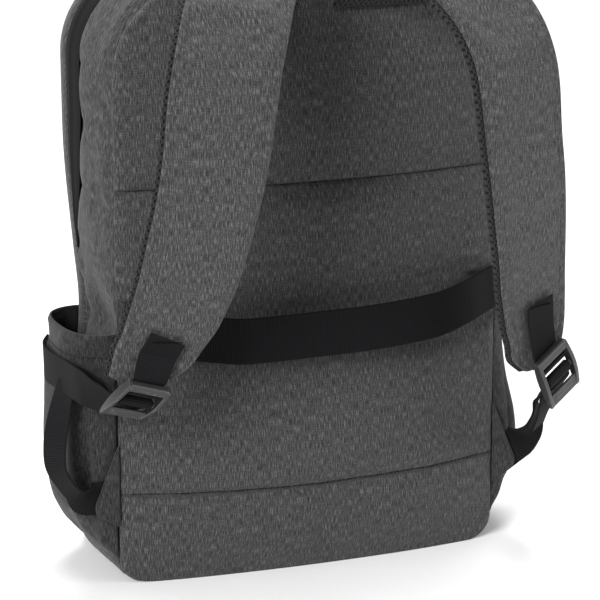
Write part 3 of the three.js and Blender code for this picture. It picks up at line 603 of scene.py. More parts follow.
def ring(q, y, inset=0.0, base_inset=None):
    """Outline points at ring places q: 0 and 40 base middle, 5 and 35 side foot, 20 top middle."""
    base_inset = inset if base_inset is None else base_inset
    q, y, inset, base_inset = np.broadcast_arrays(q, y, inset, base_inset)
    h = np.where(q <= 20, q, 40 - q)
    top = top_at(y) - inset
    top_radius = np.maximum(TOP_CORNER - inset, WALL)
    low_radius = np.maximum(BOTTOM_CORNER - base_inset, WALL)
    foot, head = base_inset + low_radius, top - top_radius
    foot_x = side_half(y, foot) - inset - low_radius
    head_x = side_half(y, head) - inset - top_radius
    low_turn = np.clip((h - 2) / 3, 0, 1) * np.pi / 2
    top_turn = np.clip((h - 13) / 5, 0, 1) * np.pi / 2
    side_z = foot + (head - foot) * np.clip((h - 5) / 8, 0, 1)
    parts = [h < 2, h < 5, h < 13, h < 18]
    x = np.select(parts, [foot_x * h / 2, foot_x + low_radius * np.sin(low_turn),
                          side_half(y, side_z) - inset, head_x + top_radius * np.cos(top_turn)],
                  head_x * (1 - (h - 18) / 2))
    z = np.select(parts, [base_inset + 0 * h, foot - low_radius * np.cos(low_turn), side_z,
                          head + top_radius * np.sin(top_turn)], top)
    return np.stack([np.where(q <= 20, 1, -1) * x, y + 0 * x, z], -1)


half_places = np.concatenate([np.linspace(0, 2, 20, False), np.linspace(2, 5, 9, False),
                              np.linspace(5, 13, 76, False), np.linspace(13, 18, 26, False),
                              np.linspace(18, 20, 15)])
ring_places = np.concatenate([half_places, 40 - half_places[-2::-1]])


def zipper_share(q):
    h = np.where(q <= 20, q, 40 - q)
    return np.interp(h - 5, [4, 5, 6, 7], [0, 0.06, 0.7, 1])


def gusset_edge(q):
    return FRONT_SEAM - CLEARANCE - ZIPPER_WIDTH * zipper_share(q)


def soft_dents(a, b, seed, size, depth):
    """Slow dents and swells over two coordinates, in millimetres, as full cloth shows."""
    chosen = np.random.default_rng(seed)
    total = 0
    for _ in range(14):
        direction = chosen.uniform(0, math.pi)
        wave = size * chosen.uniform(0.7, 1.8)
        phase = chosen.uniform(0, 2 * math.pi)
        run = a * math.cos(direction) + b * math.sin(direction)
        total = total + np.sin(run * 2 * math.pi / wave + phase)
    return depth * total / 4


def make_gusset():
    share = np.concatenate([np.linspace(0, 0.08, 8, False), np.linspace(0.08, 0.7, 26, False),
                            np.linspace(0.7, 0.96, 34, False), np.linspace(0.96, 1, 5)])
    q = ring_places[:, None]
    rear = CLEARANCE - REAR_SEAM
    y = rear + (gusset_edge(q) - rear) * share[None, :]
    grid = ring(q, y)
    depth = lengths(grid, 1)
    height = grid[..., 2]
    away = np.minimum(depth, depth[:, -1:] - depth)
    rolled = 6 * np.exp(-(depth / 3.0) ** 2) + 3.5 * np.exp(-((depth[:, -1:] - depth) / 2.2) ** 2)
    grid = ring(q, y, rolled)
    held = (away < 1) | (height < 2)
    grid = billow(grid, held, 3, 0.02, 4)
    outward = normals(ring(q, y))
    outward = outward * np.sign((outward * (grid - [0, 0, 215])).sum(-1, keepdims=True))
    side = step(height, 25, 60) * (1 - step(height, 330, 400)) * step(away, 2, 14)
    folds = soft_dents(depth * 1.2, height * 0.35, 5, 40, 1.0) * side
    # Over the pocket's rim the side's cloth hangs in two long folds
    left = (grid[..., 0] < 0) * side
    crease = 59 + 8 * ((height - 198) / 27) ** 2
    beyond = step(depth, crease - 0.8, crease + 0.8)
    lobe = 4.0 * bell(depth, crease - 7, 9) * (1 - beyond) - 5.0 * beyond * (1 - step(away, 3, 0))
    folds = folds + left * lobe * step(height, 150, 165) * (1 - step(height, 226, 250))
    folds = folds - left * 1.6 * bell(depth, 34, 6) * bell(height, 196, 26)
    high_fold = bell(depth, 37, 7) - bell(depth, 20, 7)
    folds = folds + (grid[..., 0] < 0) * 1.4 * high_fold * bell(height, 340, 90)
    grid = grid + outward * np.clip(folds, -6, 4)[..., None]
    grid[..., 2] = np.maximum(grid[..., 2], 0)
    flat = np.stack([depth, lengths(grid, 0)], -1)
    inner = grid - outward * WALL
    inner[..., 1] = grid[..., 1]
    points, faces, both = slab(grid, inner, flat)
    made = make_mesh("rear_gusset_cloth", points, faces, both, [bag_cloth], ["rear_gusset"])


def make_zipper():
    places = ring_places[(ring_places > 9.8) & (ring_places < 30.2)]
    share = np.array([0, 0.02, 0.12, 0.25, 0.36, 0.4, 0.43, 0.46, 0.485, 0.5,
                      0.515, 0.54, 0.57, 0.6, 0.64, 0.75, 0.88, 0.98, 1])
    q = places[:, None]
    low = gusset_edge(q) + CLEARANCE
    y = low + (FRONT_SEAM - CLEARANCE - low) * share[None, :]
    open_wide = np.clip(3 * zipper_share(q), 0, 1)
    ridge = 1.3 * bell(share, 0.5, 0.1)[None, :] - 1.0 * bell(share, 0.5, 0.014)[None, :]
    sunk = 1.1 * (bell(share, 0, 0.05) + bell(share, 1, 0.05))[None, :]
    grid = ring(q, y, (sunk - ridge) * open_wide)
    inner = ring(q, y, 1.8 + 0 * share[None, :])
    flat = np.stack([np.broadcast_to(share * ZIPPER_WIDTH, grid.shape[:2]), lengths(grid, 0)], -1)
    points, faces, both = slab(grid, inner, flat)
    make_mesh("main_zipper_tape", points, faces, both, [zipper_tape], ["main_zipper"])


def make_front():
    """The front shell: a rounded edge all round, then the slightly crowned face."""
    depth = BAG_DEPTH - REAR_SEAM - FRONT_SEAM - FRONT_CROWN
    q = ring_places[:, None]
    turn = np.linspace(0, 1, 20)[None, :] * np.pi / 2
    y = FRONT_SEAM + depth * np.sin(turn)
    rolled = 1.6 * bell(turn, 0, 0.05)
    round_off = FRONT_ROUND * (1 - np.cos(turn))
    edge = ring(q, y, round_off + rolled, (round_off + rolled) / 2)
    rim = edge[:, -1]
    middle = np.array([0, 0, (rim[0, 2] + rim[len(rim) // 2, 2]) / 2])
    scale = np.linspace(1, 0, 34)[1:]
    face = middle + (rim[:, None, :] - middle) * scale[None, :, None]
    face[..., 1] = rim[0, 1] + FRONT_CROWN * (1 - scale**2)[None, :]
    grid = np.concatenate([edge, face], 1)
    x, z = grid[..., 0], grid[..., 2]
    away = lengths(grid, 1)
    held = (away < 1) | (z < 4) | (np.arange(grid.shape[1])[None, :] == grid.shape[1] - 1)
    grid = billow(grid, held, 2, 0.008, 3)
    dents = soft_dents(x, z * 0.6, 11, 150, 0.9) * step(away, 10, 60) * step(z, 8, 60)
    seam_line = 1.3 * bell(away, away[:, 19:20] + 2, 1.6)
    grid = grid + np.array([0, 1, 0]) * (dents - seam_line)[..., None]
    grid[..., 2] = np.maximum(grid[..., 2], 0)
    # Cloth coordinates: the face as it is, the rounded edge unrolled from it
    out = unit(np.stack([rim[:, 0], rim[:, 2] - middle[2]], -1))[:, None, :]
    rest = (away[:, 19:20] - away)[..., None]
    on_face = np.stack([grid[..., 0], grid[..., 2]], -1)
    unrolled = np.stack([rim[:, 0], rim[:, 2]], -1)[:, None, :] + out * rest
    flat = np.where(np.arange(grid.shape[1])[None, :, None] > 19, on_face, unrolled)
    outward = normals(grid)
    outward = outward * np.sign((outward * (grid - [0, -20, 215])).sum(-1, keepdims=True))
    outward[:, -1] = [0, 1, 0]
    inner = grid - outward * FRONT_WALL
    inner[:, 0, 1] = grid[:, 0, 1]
    points, faces, both = slab(grid, inner, flat)
    made = make_mesh("front_shell_cloth", points, faces, both, [bag_cloth], ["front_shell"])
    sewn_row = 21
    facing = outward[:, sewn_row]
    stitches("front_seam_stitches", [(grid[:, sewn_row] + facing * 0.3, facing)], grey_thread)


# Back panel

def panel_half(z):
    top = BAG_HEIGHT - TOP_BULGE
    half = PANEL_WIDTH / 2
    low = half - BOTTOM_CORNER + np.sqrt(np.maximum(BOTTOM_CORNER**2 - (BOTTOM_CORNER - z) ** 2, 0))
    high = half - TOP_CORNER + np.sqrt(np.maximum(TOP_CORNER**2 - (z - top + TOP_CORNER) ** 2, 0))
    return np.where(z < BOTTOM_CORNER, low, np.where(z > top - TOP_CORNER, high, half))


def panel_face(x, z):
    share = np.minimum(np.abs(x) / panel_half(z), 1)
    swell = curve(z / (BAG_HEIGHT - TOP_BULGE), PANEL_ROWS["up"], PANEL_ROWS["swell"])
    return -REAR_SEAM - PANEL_EDGE - PANEL_BULGE * swell * (1 - share**PANEL_FALLOFF)


def make_panel():
    top = BAG_HEIGHT - TOP_BULGE
    fine = np.linspace(0, top, 4000)
    close = sum(bell(fine, spot, 6) for spot in QUILT_SEAMS + [170, 212])
    close = close + bell(fine, 0, 8) + bell(fine, top, 9)
    count = np.cumsum(0.3 + np.minimum(close, 1))
    z = np.interp(np.linspace(count[0], count[-1], 230), count, fine)
    share = np.sin(np.linspace(-1, 1, 101) * np.pi / 2) * 0.35 + np.linspace(-1, 1, 101) * 0.65
    z = z[:, None] + 0 * share[None, :]
    x = share[None, :] * panel_half(z)
    y = panel_face(x, z)
    c = np.abs(share)[None, :] + 0 * z
    edge = np.minimum(panel_half(z) - np.abs(x), top - z)
    edge = np.minimum(edge, z + 12)
    quilt = sum(bell(z, seam, 1.3) for seam in QUILT_SEAMS)
    held = (edge < 1.5) | (sum(np.abs(z - seam) < 1.6 for seam in QUILT_SEAMS) > 0) | (z < 1)
    grid = billow(np.stack([x, y, z], -1), held, 2, 0.014, 5)
    drawn_in = sum(bell(z, seam, 9) for seam in QUILT_SEAMS)
    dip = 3.6 * quilt * step(edge, 0, 4) + 2.4 * drawn_in * step(edge, 4, 20)
    dip = dip + 3.4 * np.exp(-(np.maximum(edge, 0) / 2.6) ** 2)
    # The luggage strap is sewn on at both sides and pulls the padding in there
    pulled = step(z, 164, 174) * (1 - step(z, 206, 211)) * step(c, 0.7, 0.96)
    dip = dip + 7.5 * pulled * step(edge, 0, 3)
    dip = dip + 1.6 * bell(z, 211, 4) * step(c, 0.3, 0.74) * (1 - step(c, 0.74, 0.86))
    dip = dip - 3.4 * bell(z, 224, 12) * step(c, 0.7, 0.86) * step(edge, 3, 9)
    # Upright puckers where the strap turns, and slow dents
    for middle, depth, high in ((94, 1.6, 240), (112, 1.3, 225), (-96, 1.2, 236), (70, 0.8, 232)):
        dip = dip + depth * bell(grid[..., 0], middle, 5) * bell(z, high, 24)
    dip = dip + soft_dents(x, z, 3, 95, 0.7) * step(edge, 6, 30)
    for seam in QUILT_SEAMS:
        gather = np.sin(x / 4.6 + 1.7 * np.sin(x / 23)) * bell(z, seam, 9) * (1 - bell(z, seam, 1.5))
        dip = dip + 0.45 * gather * step(edge, 4, 20)
    grid[..., 1] = np.minimum(grid[..., 1] + dip, -REAR_SEAM - 0.6)
    grid[..., 2] = np.maximum(grid[..., 2], 0)
    inner = grid.copy()
    inner[..., 1] = np.minimum(grid[..., 1] + PANEL_PAD, -REAR_SEAM)
    flat = np.stack([x, z], -1)
    points, faces, both = slab(grid, inner, flat)
    made = make_mesh("back_panel_padding", points, faces, both, [panel_cloth],
                     ["back_panel"])
    outward = normals(grid)
    outward = outward * np.sign(-outward[..., 1:2])
    lines = []
    for seam in QUILT_SEAMS:
        i = int(np.argmin(np.abs(z[:, 0] - seam)))
        lines.append((grid[i, 4:-4] + outward[i, 4:-4] * 0.1, outward[i, 4:-4]))
    stitches("quilt_stitches", lines, dark_thread, radius=0.28)


# Side pockets

def bag_side(y, z):
    """The bag's side, also where the front shell rounds off."""
    depth = BAG_DEPTH - REAR_SEAM - FRONT_SEAM - FRONT_CROWN
    turn = np.arcsin(np.clip((y - FRONT_SEAM) / depth, 0, 1))
    return side_half(y, z) - FRONT_ROUND * (1 - np.cos(turn))


def make_pocket(side, sign):
    up = np.linspace(0, 1, 60)[:, None]
    turn = (np.linspace(0, 1, 56) - 0.5)[None, :] * np.pi
    z = POCKET_BOTTOM + up * POCKET_HEIGHT + 0 * turn
    power = 2 / POCKET_SQUARENESS
    y = np.sign(turn) * np.abs(np.sin(turn)) ** power * POCKET_LENGTH / 2 - POCKET_MIDDLE + 0 * z
    reach = curve(up, POCKET_ROWS["up"], POCKET_ROWS[side])
    stand = POCKET_REACH * reach * np.maximum(np.cos(turn), 0) ** power
    x = bag_side(y, z) + 2 * CLEARANCE + stand
    grid = np.stack([x, y, z], -1)
    outward = unit(np.stack([np.cos(turn) + 0 * z, np.sin(turn) + 0 * z, 0 * z], -1))
    arc = lengths(grid, 1)
    along = arc / arc[:, -1:]
    free = step(up, 0.03, 0.2) * step(np.minimum(along, 1 - along), 0.01, 0.06)
    # Long upright folds below the rim, the cloth between them full
    folds = (2.2 * bell(along, 0.08, 0.03) - 4.4 * bell(along, 0.165, 0.035) + 3.4 * bell(along, 0.27, 0.055)
             - 3.0 * bell(along, 0.42, 0.05) + 2.0 * bell(along, 0.62, 0.08))
    folds = folds * bell(up, 0.38, 0.3) + soft_dents(arc, z * 0.5, 21, 60, 0.8) * (1 - step(up, 0.8, 0.97))
    depth_room = np.clip(stand / 10, 0, 1)
    grid = grid + outward * (np.clip(folds, -4.5, 2.8) * free * depth_room)[..., None]
    held = (up + 0 * along < 0.02) | (np.minimum(along, 1 - along) < 0.01) | (up + 0 * along > 0.985)
    grid = billow(grid, held, 1.5, 0.02, 3)
    # A bound rim: the hem is doubled over a cord
    hem = bell(up, 0.985, 0.012) * 0.7 - 0.5 * bell(up, 0.915, 0.006)
    grid = grid + outward * (hem * step(stand, 0.5, 3))[..., None]
    inner = grid - outward * POCKET_WALL
    inner[..., 0] = np.maximum(inner[..., 0], bag_side(y, z) + CLEARANCE)
    mirror = np.array([sign, 1, 1])
    flat = np.stack([arc, z], -1)
    points, faces, both = slab(grid * mirror, inner * mirror, flat)
    made = make_mesh(f"side_pocket_{side}_cloth", points, faces, both, [pocket_cloth, lining_with_painted_shade],
                     [f"side_pocket_{side}"])
    # Faces of the inner skin take the dark lining with its painted shade
    inside = [int(min(face) >= grid.shape[0] * grid.shape[1]) for face in faces]
    made.data.polygons.foreach_set("material_index", inside)
    row = int(0.915 * 59)
    stitches(f"pocket_{side}_stitches", [((grid[row] + outward[row] * 0.25) * mirror, outward[row] * mirror)],
             dark_thread)
    return made


# Bands

def spline(points, steps):
    """A centripetal Catmull-Rom curve through the points, steps pieces to each span."""
    p = np.asarray(points, float)
    p = np.vstack([2 * p[0] - p[1], p, 2 * p[-1] - p[-2]])
    out = []
    for i in range(1, len(p) - 2):
        p0, p1, p2, p3 = p[i - 1:i + 3]
        d0, d1, d2 = (max(np.linalg.norm(b - a) ** 0.5, 1e-4) for a, b in ((p0, p1), (p1, p2), (p2, p3)))
        t1 = ((p1 - p0) / d0 - (p2 - p0) / (d0 + d1) + (p2 - p1) / d1) * d1
        t2 = ((p2 - p1) / d1 - (p3 - p1) / (d1 + d2) + (p3 - p2) / d2) * d1
        for k in range(steps):
            t = k / steps
            out.append((2 * t**3 - 3 * t**2 + 1) * p1 + (t**3 - 2 * t**2 + t) * t1
                       + (3 * t**2 - 2 * t**3) * p2 + (t**3 - t**2) * t2)
    out.append(p[-2])
    return np.array(out)


def blended(vectors, steps):
    v = unit(np.asarray(vectors, float))
    at = np.arange((len(v) - 1) * steps + 1) / steps
    i = np.minimum(at.astype(int), len(v) - 2)
    t = (at - i)[:, None]
    t = t * t * (3 - 2 * t) * 0.5 + t * 0.5
    return unit(v[i] * (1 - t) + v[i + 1] * t)


def ribbon(name, path, side, width, thickness, look, replaced, sign=1):
    """Webbing along a path: a flat section with thicker rounded edges."""
    path, side = np.asarray(path, float), np.asarray(side, float)
    along = unit(np.gradient(path, axis=0))
    side = unit(side - along * (side * along).sum(-1, keepdims=True))
    face = np.cross(along, side)
    u = np.array([-1, -0.985, -0.95, -0.88, -0.7, -0.4, 0, 0.4, 0.7, 0.88, 0.95, 0.985, 1])
    thick = np.array([0.35, 0.75, 1.0, 0.92, 0.86, 0.84, 0.84, 0.84, 0.86, 0.92, 1.0, 0.75, 0.35])
    def skin(sense):
        return (path[:, None, :] + side[:, None, :] * (u * width / 2)[None, :, None]
                + face[:, None, :] * (sense * thick * thickness / 2)[None, :, None])
    run = np.concatenate([[0], np.cumsum(np.linalg.norm(np.diff(path, axis=0), axis=1))])
    flat = np.stack(np.broadcast_arrays((u * width / 2)[None, :], run[:, None]), -1)
    mirror = np.array([sign, 1, 1])
    points, faces, both = slab(skin(1) * mirror, skin(-1) * mirror, flat)
    made = make_mesh(name, points, faces, both, [look], replaced)
    return made


def place(out, off, up):
    return np.array([out * PANEL_WIDTH / 2, -REAR_SEAM - off * HARNESS_REACH, up * BAG_HEIGHT])


def make_luggage_strap():
    rows = []
    for across, off, up in zip(*LUGGAGE_ROWS.values()):
        x, z = across * PANEL_WIDTH / 2, up * BAG_HEIGHT
        rows.append([x, -REAR_SEAM - off * LUGGAGE_STANDOFF, z])
    path = spline(rows, 10)
    side = np.tile([0.0, 0.0, 1.0], (len(path), 1))
    ribbon("luggage_strap_webbing", path, side, LUGGAGE_WIDTH, LUGGAGE_THICKNESS, ribbed_webbing,
           ["luggage_strap"])


def pad_frames(side, steps=8):
    """Frames along a shoulder strap: middle of the face, width direction, outward, width, thickness."""
    rows = PAD_ROWS + PAD_ENDS[side]
    path = spline([place(*row[:3]) for row in rows], steps)
    at = np.linspace(0, len(rows) - 1, len(path))
    turn, width, thick = (curve(at, range(len(rows)), [row[i] for row in rows]) for i in (3, 4, 5))
    turn = np.radians(turn)
    across = np.stack([np.cos(turn), np.sin(turn), 0 * turn], -1)
    along = unit(np.gradient(path, axis=0))
    out = unit(np.cross(along, across))
    return path, across, out, width, thick, steps


def pad_skin(frames, depth, proud, columns):
    """One skin of a shoulder strap; proud is what it stands past the cloth's edges, low and high."""
    path, across, out, width, thick, _ = frames
    past = np.where(columns > 0, proud[1], proud[0]) * columns
    wide = (width * PAD_WIDTH / 2)[:, None] * columns[None, :] + past[None, :]
    return (path[:, None, :] + across[:, None, :] * wide[..., None]
            - out[:, None, :] * (depth * thick[:, None] * PAD_THICKNESS)[..., None])


def make_pad(side, sign):
    frames = pad_frames(side)
    path, _, out, width, _, _ = frames
    t = np.linspace(-1, 1, 41)
    columns = np.sin(t * np.pi / 2) * 0.45 + t * 0.55
    mirror = np.array([sign, 1, 1])
    run = np.concatenate([[0], np.cumsum(np.linalg.norm(np.diff(path, axis=0), axis=1))])
    flat = np.stack(np.broadcast_arrays(columns[None, :] * PAD_WIDTH / 2, run[:, None]), -1)
    round_edge = 1 - np.maximum(1 - np.abs(columns) ** 7, 0) ** 0.45
    outer = pad_skin(frames, 0.38 * round_edge[None, :], (0, 0), columns)
    number = np.arange(len(path))[:, None]
    held = (np.abs(columns)[None, :] > 0.97) | (number < 1) | (number > len(path) - 2)
    outer = billow(outer, held, 1.5, 0.01, 2.5)
    wide = (width * PAD_WIDTH / 2)[:, None] * columns[None, :]
    dents = soft_dents(wide, run[:, None], 8, 60, 0.35) * (1 - np.abs(columns)[None, :] ** 4)
    # A stitched line runs a little inside each edge
    inset = (width * PAD_WIDTH / 2)[:, None] - np.abs(wide)
    groove = 0.8 * bell(inset, 5.5, 1.3)
    outer = outer - out[:, None, :] * (groove + dents)[..., None] * step(run, 4, 30)[:, None, None]
    middle = pad_skin(frames, 0.46 + 0 * columns[None, :], (0, 0), columns)
    upright = np.stack(np.broadcast_arrays(outer[..., 0], run[:, None]), -1)
    points, faces, both = slab(outer * mirror, middle * mirror, upright)
    made = make_mesh(f"shoulder_pad_{side}_cloth", points, faces, both, [strap_cloth],
                     [f"shoulder_pad_{side}"])
    # The air-mesh below wraps the edge and shows beyond the cloth
    edge = 1 - np.maximum(1 - np.abs(columns) ** 6, 0) ** 0.5
    proud = (0.2, 1.5 * MESH_PROUD) if side == "left" else (2 * MESH_PROUD, 0.2)
    upper = pad_skin(frames, 0.5 + 0.03 * edge[None, :], proud, columns)
    lower = pad_skin(frames, 1.0 - 0.3 * edge[None, :], proud, columns)
    points, faces, both = slab(upper * mirror, lower * mirror, flat)
    made = make_mesh(f"pad_mesh_{side}_knit", points, faces, both, [air_mesh],
                     [f"pad_mesh_{side}"])
    lines = []
    for target in (-1, 1):
        path_points, path_out = [], []
        for i in range(14, len(path) - 3):
            j = int(np.argmin(np.abs(wide[i] - target * (width[i] * PAD_WIDTH / 2 - 5.5))))
            path_points.append(outer[i, j] + out[i] * 0.15)
            path_out.append(out[i])
        lines.append((np.array(path_points) * mirror, np.array(path_out) * mirror))
    stitches(f"pad_{side}_stitches", lines, grey_thread, radius=0.25)
    return frames


def buckle_frame(side):
    """The bar's middle, the ways along, across and out of the buckle, and a function for its points."""
    turn = BUCKLES[side]
    length = unit(np.array(turn["along"]))
    across = np.array(turn["across"])
    across = unit(across - length * (across @ length))
    out = np.cross(length, across)
    at = place(*turn["bar"])
    return at, length, across, out, lambda down, lift: at + length * down + out * lift


def make_patch(side, sign, frames):
    _, _, across, _, point = buckle_frame(side)
    path, pad_across, pad_out, _, _, steps = frames
    first, last = PATCH_START * steps, (PATCH_START + PATCH_ROWS - 1) * steps
    lift = CLEARANCE + WEBBING_THICKNESS / 2 + PATCH_LIFT
    rows = [path[i] + pad_out[i] * lift for i in range(first, last + 1, 4)]
    sides = [pad_across[i] for i in range(first, last + 1, 4)]
    behind = -(BAR_RADIUS + CLEARANCE + WEBBING_THICKNESS / 2)
    loop = LOOP_RADIUS + CLEARANCE + WEBBING_THICKNESS / 2
    centre = behind + loop
    turned = [(-3.5, behind - 0.2), (0, behind), (LOOP_AT - 2, behind)]
    turned += [(LOOP_AT + loop * math.sin(a), centre - loop * math.cos(a))
               for a in np.linspace(0, math.pi, 7)]
    turned += [(LOOP_AT - 1.6, centre + loop * 0.9)]
    rows += [point(down, up) for down, up in turned]
    sides += [across] * len(turned)
    ribbon(f"strap_patch_{side}_webbing", spline(rows, 5), blended(sides, 5), WEBBING_WIDTH,
           WEBBING_THICKNESS, plain_webbing, [f"strap_patch_{side}"], sign)
    mirror = np.array([sign, 1, 1])
    sewn_at = first + 1
    wide = np.linspace(-0.44, 0.44, 12)[:, None] * WEBBING_WIDTH
    above = lift + WEBBING_THICKNESS / 2 + 0.2
    row = path[sewn_at] + pad_out[sewn_at] * above + pad_across[sewn_at] * wide
    lines = [(row * mirror, np.tile(pad_out[sewn_at], (12, 1)) * mirror)]
    stitches(f"patch_{side}_stitches", lines, dark_thread, length=1.5, gap=0.2, radius=0.7)


def make_lower_strap(side, sign):
    _, _, across, _, point = buckle_frame(side)
    runs = LOWER_RUNS[side]
    seat = -REAR_SEAM - CLEARANCE - WEBBING_THICKNESS / 2
    rows = [[PANEL_WIDTH / 2 + reach * TAB_REACH, seat, TAB_BOTTOM + rise * TAB_HEIGHT]
            for reach, rise, _ in runs["sewn"]]
    sides = [row[2] for row in runs["sewn"]]
    rows += [place(*row[:3]) for row in runs["load"]]
    sides += [row[3] for row in runs["load"]]
    r = LOCK_RADIUS + CLEARANCE + WEBBING_THICKNESS / 2
    behind_tail = -CLEARANCE - WEBBING_THICKNESS - 0.4
    behind_load = behind_tail - WEBBING_THICKNESS - 2 * CLEARANCE
    threaded = [(LOCK_AT + 3 * r, behind_load), (LOCK_AT + r, behind_load + CLEARANCE), (LOCK_AT, -r),
                (LOCK_AT - r * 0.8, -r * 0.6), (LOCK_AT - r * 0.8, r * 0.6), (LOCK_AT, r),
                (LOCK_AT + r, r * 0.5), (LOCK_AT + 2 * r, behind_tail / 2), (LOCK_AT + 3 * r, behind_tail)]
    rows += [point(*spot) for spot in threaded]
    sides += [across] * len(threaded)
    rows += [place(*row[:3]) for row in runs["tail"]]
    sides += [row[3] for row in runs["tail"]]
    ribbon(f"lower_strap_{side}_webbing", spline(rows, 6), blended(sides, 6), WEBBING_WIDTH,
           WEBBING_THICKNESS, plain_webbing, [f"lower_strap_{side}"], sign)


# Buckles, tabs, handle, sliders

def fused(name, pieces, voxel, look, replaced, smoothing=4):
    """Joins overlapping closed meshes, given as (points, faces), into one moulded body."""
    points, faces, base = [], [], 0
    for some, sides in pieces:
        points.extend(some)
        faces.extend([[i + base for i in side] for side in sides])
        base += len(some)
    made = make_mesh(name, points, faces, looks=[look], replaced=replaced)
    remesh = made.modifiers.new("Remesh", "REMESH")
    remesh.mode = "VOXEL"
    remesh.voxel_size = voxel * MM
    soften = made.modifiers.new("Smooth", "SMOOTH")
    soften.iterations = smoothing
    soften.factor = 0.5
    bpy.context.view_layer.update()
    data = bpy.data.meshes.new_from_object(made.evaluated_get(bpy.context.evaluated_depsgraph_get()))
    made.modifiers.clear()
    made.data = data
    data.materials.clear()
    data.materials.append(look)
    data.polygons.foreach_set("use_smooth", [True] * len(data.polygons))
    return made


def rod(radius, start_at, end_at, sides=20):
    """A round bar between two points."""
    start_at, end_at = np.array(start_at, float), np.array(end_at, float)
    along = unit(end_at - start_at)
    first = unit(np.cross(along, [0.3, 0.2, 0.93]))
    second = np.cross(along, first)
    angles = np.linspace(0, 2 * math.pi, sides, False)[:, None]
    circle = first * np.cos(angles) * radius + second * np.sin(angles) * radius
    points = np.concatenate([start_at + circle, end_at + circle])
    faces = [[i, (i + 1) % sides, (i + 1) % sides + sides, i + sides] for i in range(sides)]
    faces += [list(range(sides))[::-1], list(range(sides, 2 * sides))]
    return points.tolist(), faces


def block(low, high):
    """A box between two corners."""
    (x0, y0, z0), (x1, y1, z1) = low, high
    points = [[x, y, z] for x in (x0, x1) for y in (y0, y1) for z in (z0, z1)]
    return points, [[0, 1, 3, 2], [4, 6, 7, 5], [0, 4, 5, 1], [2, 3, 7, 6], [0, 2, 6, 4], [1, 5, 7, 3]]


def round_bar(half, low, high, radius):
    """A flat bar with rounded edges across the buckle, between corners given as (down, up)."""
    (d0, u0), (d1, u1) = low, high
    pieces = [block((-half, d0 + radius, u0), (half, d1 - radius, u1)),
              block((-half, d0, u0 + radius), (half, d1, u1 - radius))]
    for d in (d0 + radius, d1 - radius):
        for u in (u0 + radius, u1 - radius):
            pieces.append(rod(radius, (-half, d, u), (half, d, u)))
    return pieces


def side_plate(middle):
    """The buckle's side: a curved arm, drawn along the buckle and extruded across it."""
    t = np.linspace(0, 1, 15)
    down = -3.8 + (BUCKLE_LENGTH + 3.8) * t
    top = 1.6 + 2.6 * np.sin(np.pi * np.minimum((t + 0.25) / 1.25, 1)) ** 0.7 + 0.6 * np.sin(np.pi * t) ** 2
    low = -0.6 - 2.2 * np.sin(np.pi * np.minimum((t + 0.3) / 1.3, 1)) ** 0.8
    outline = [(d, h) for d, h in zip(down, top)] + [(d, h) for d, h in zip(down[::-1], low[::-1])]
    count = len(outline)
    outward = math.copysign(1, middle)
    bow = [1.3 * outward * math.sin(math.pi * np.clip((d + 4) / (BUCKLE_LENGTH + 6), 0, 1))
           for d, _ in outline]
    points = [[middle + s * PLATE_THICKNESS / 2 + b, d, h]
              for s in (-1, 1) for (d, h), b in zip(outline, bow)]
    faces = [[i, (i + 1) % count, (i + 1) % count + count, i + count] for i in range(count)]
    for i in range(len(t) - 1):
        a, b = i, i + 1
        c, d = count - 2 - i, count - 1 - i
        faces += [[d, c, b, a], [a + count, b + count, c + count, d + count]]
    return points, faces


def make_buckle(side, sign):
    at, length, across, out, _ = buckle_frame(side)
    middle = WEBBING_WIDTH / 2 + 0.6 + PLATE_THICKNESS / 2
    behind = -(BAR_RADIUS + CLEARANCE + WEBBING_THICKNESS / 2)
    loop_height = behind + LOOP_RADIUS + CLEARANCE + WEBBING_THICKNESS / 2
    end = BUCKLE_LENGTH
    pieces = [side_plate(-middle), side_plate(middle),
              *round_bar(middle, (-4.3, -2.4), (3.1, 3.7), 1.9),
              rod(LOOP_RADIUS, (-middle, LOOP_AT, loop_height), (middle, LOOP_AT, loop_height)),
              rod(LOCK_RADIUS, (-middle, LOCK_AT, 0), (middle, LOCK_AT, 0)),
              *round_bar(middle, (end - 9.5, -0.6), (end - 0.2, 1.9), 0.9)]
    for k in range(3):
        pieces.append(rod(0.5, (-9, end - 8 + 1.5 * k, 1.9), (9, end - 8 + 1.5 * k, 1.9), sides=10))
    turn = np.stack([across, length, out])
    mirror = np.array([sign, 1, 1])
    placed = []
    for points, faces in pieces:
        world = (np.array(points) @ turn + at) * mirror
        flipped = np.linalg.det(turn) * sign < 0
        placed.append((world.tolist(), [f[::-1] for f in faces] if flipped else faces))
    fused(f"buckle_{side}_moulded", placed, 0.42, buckle_plastic, [f"buckle_{side}"])


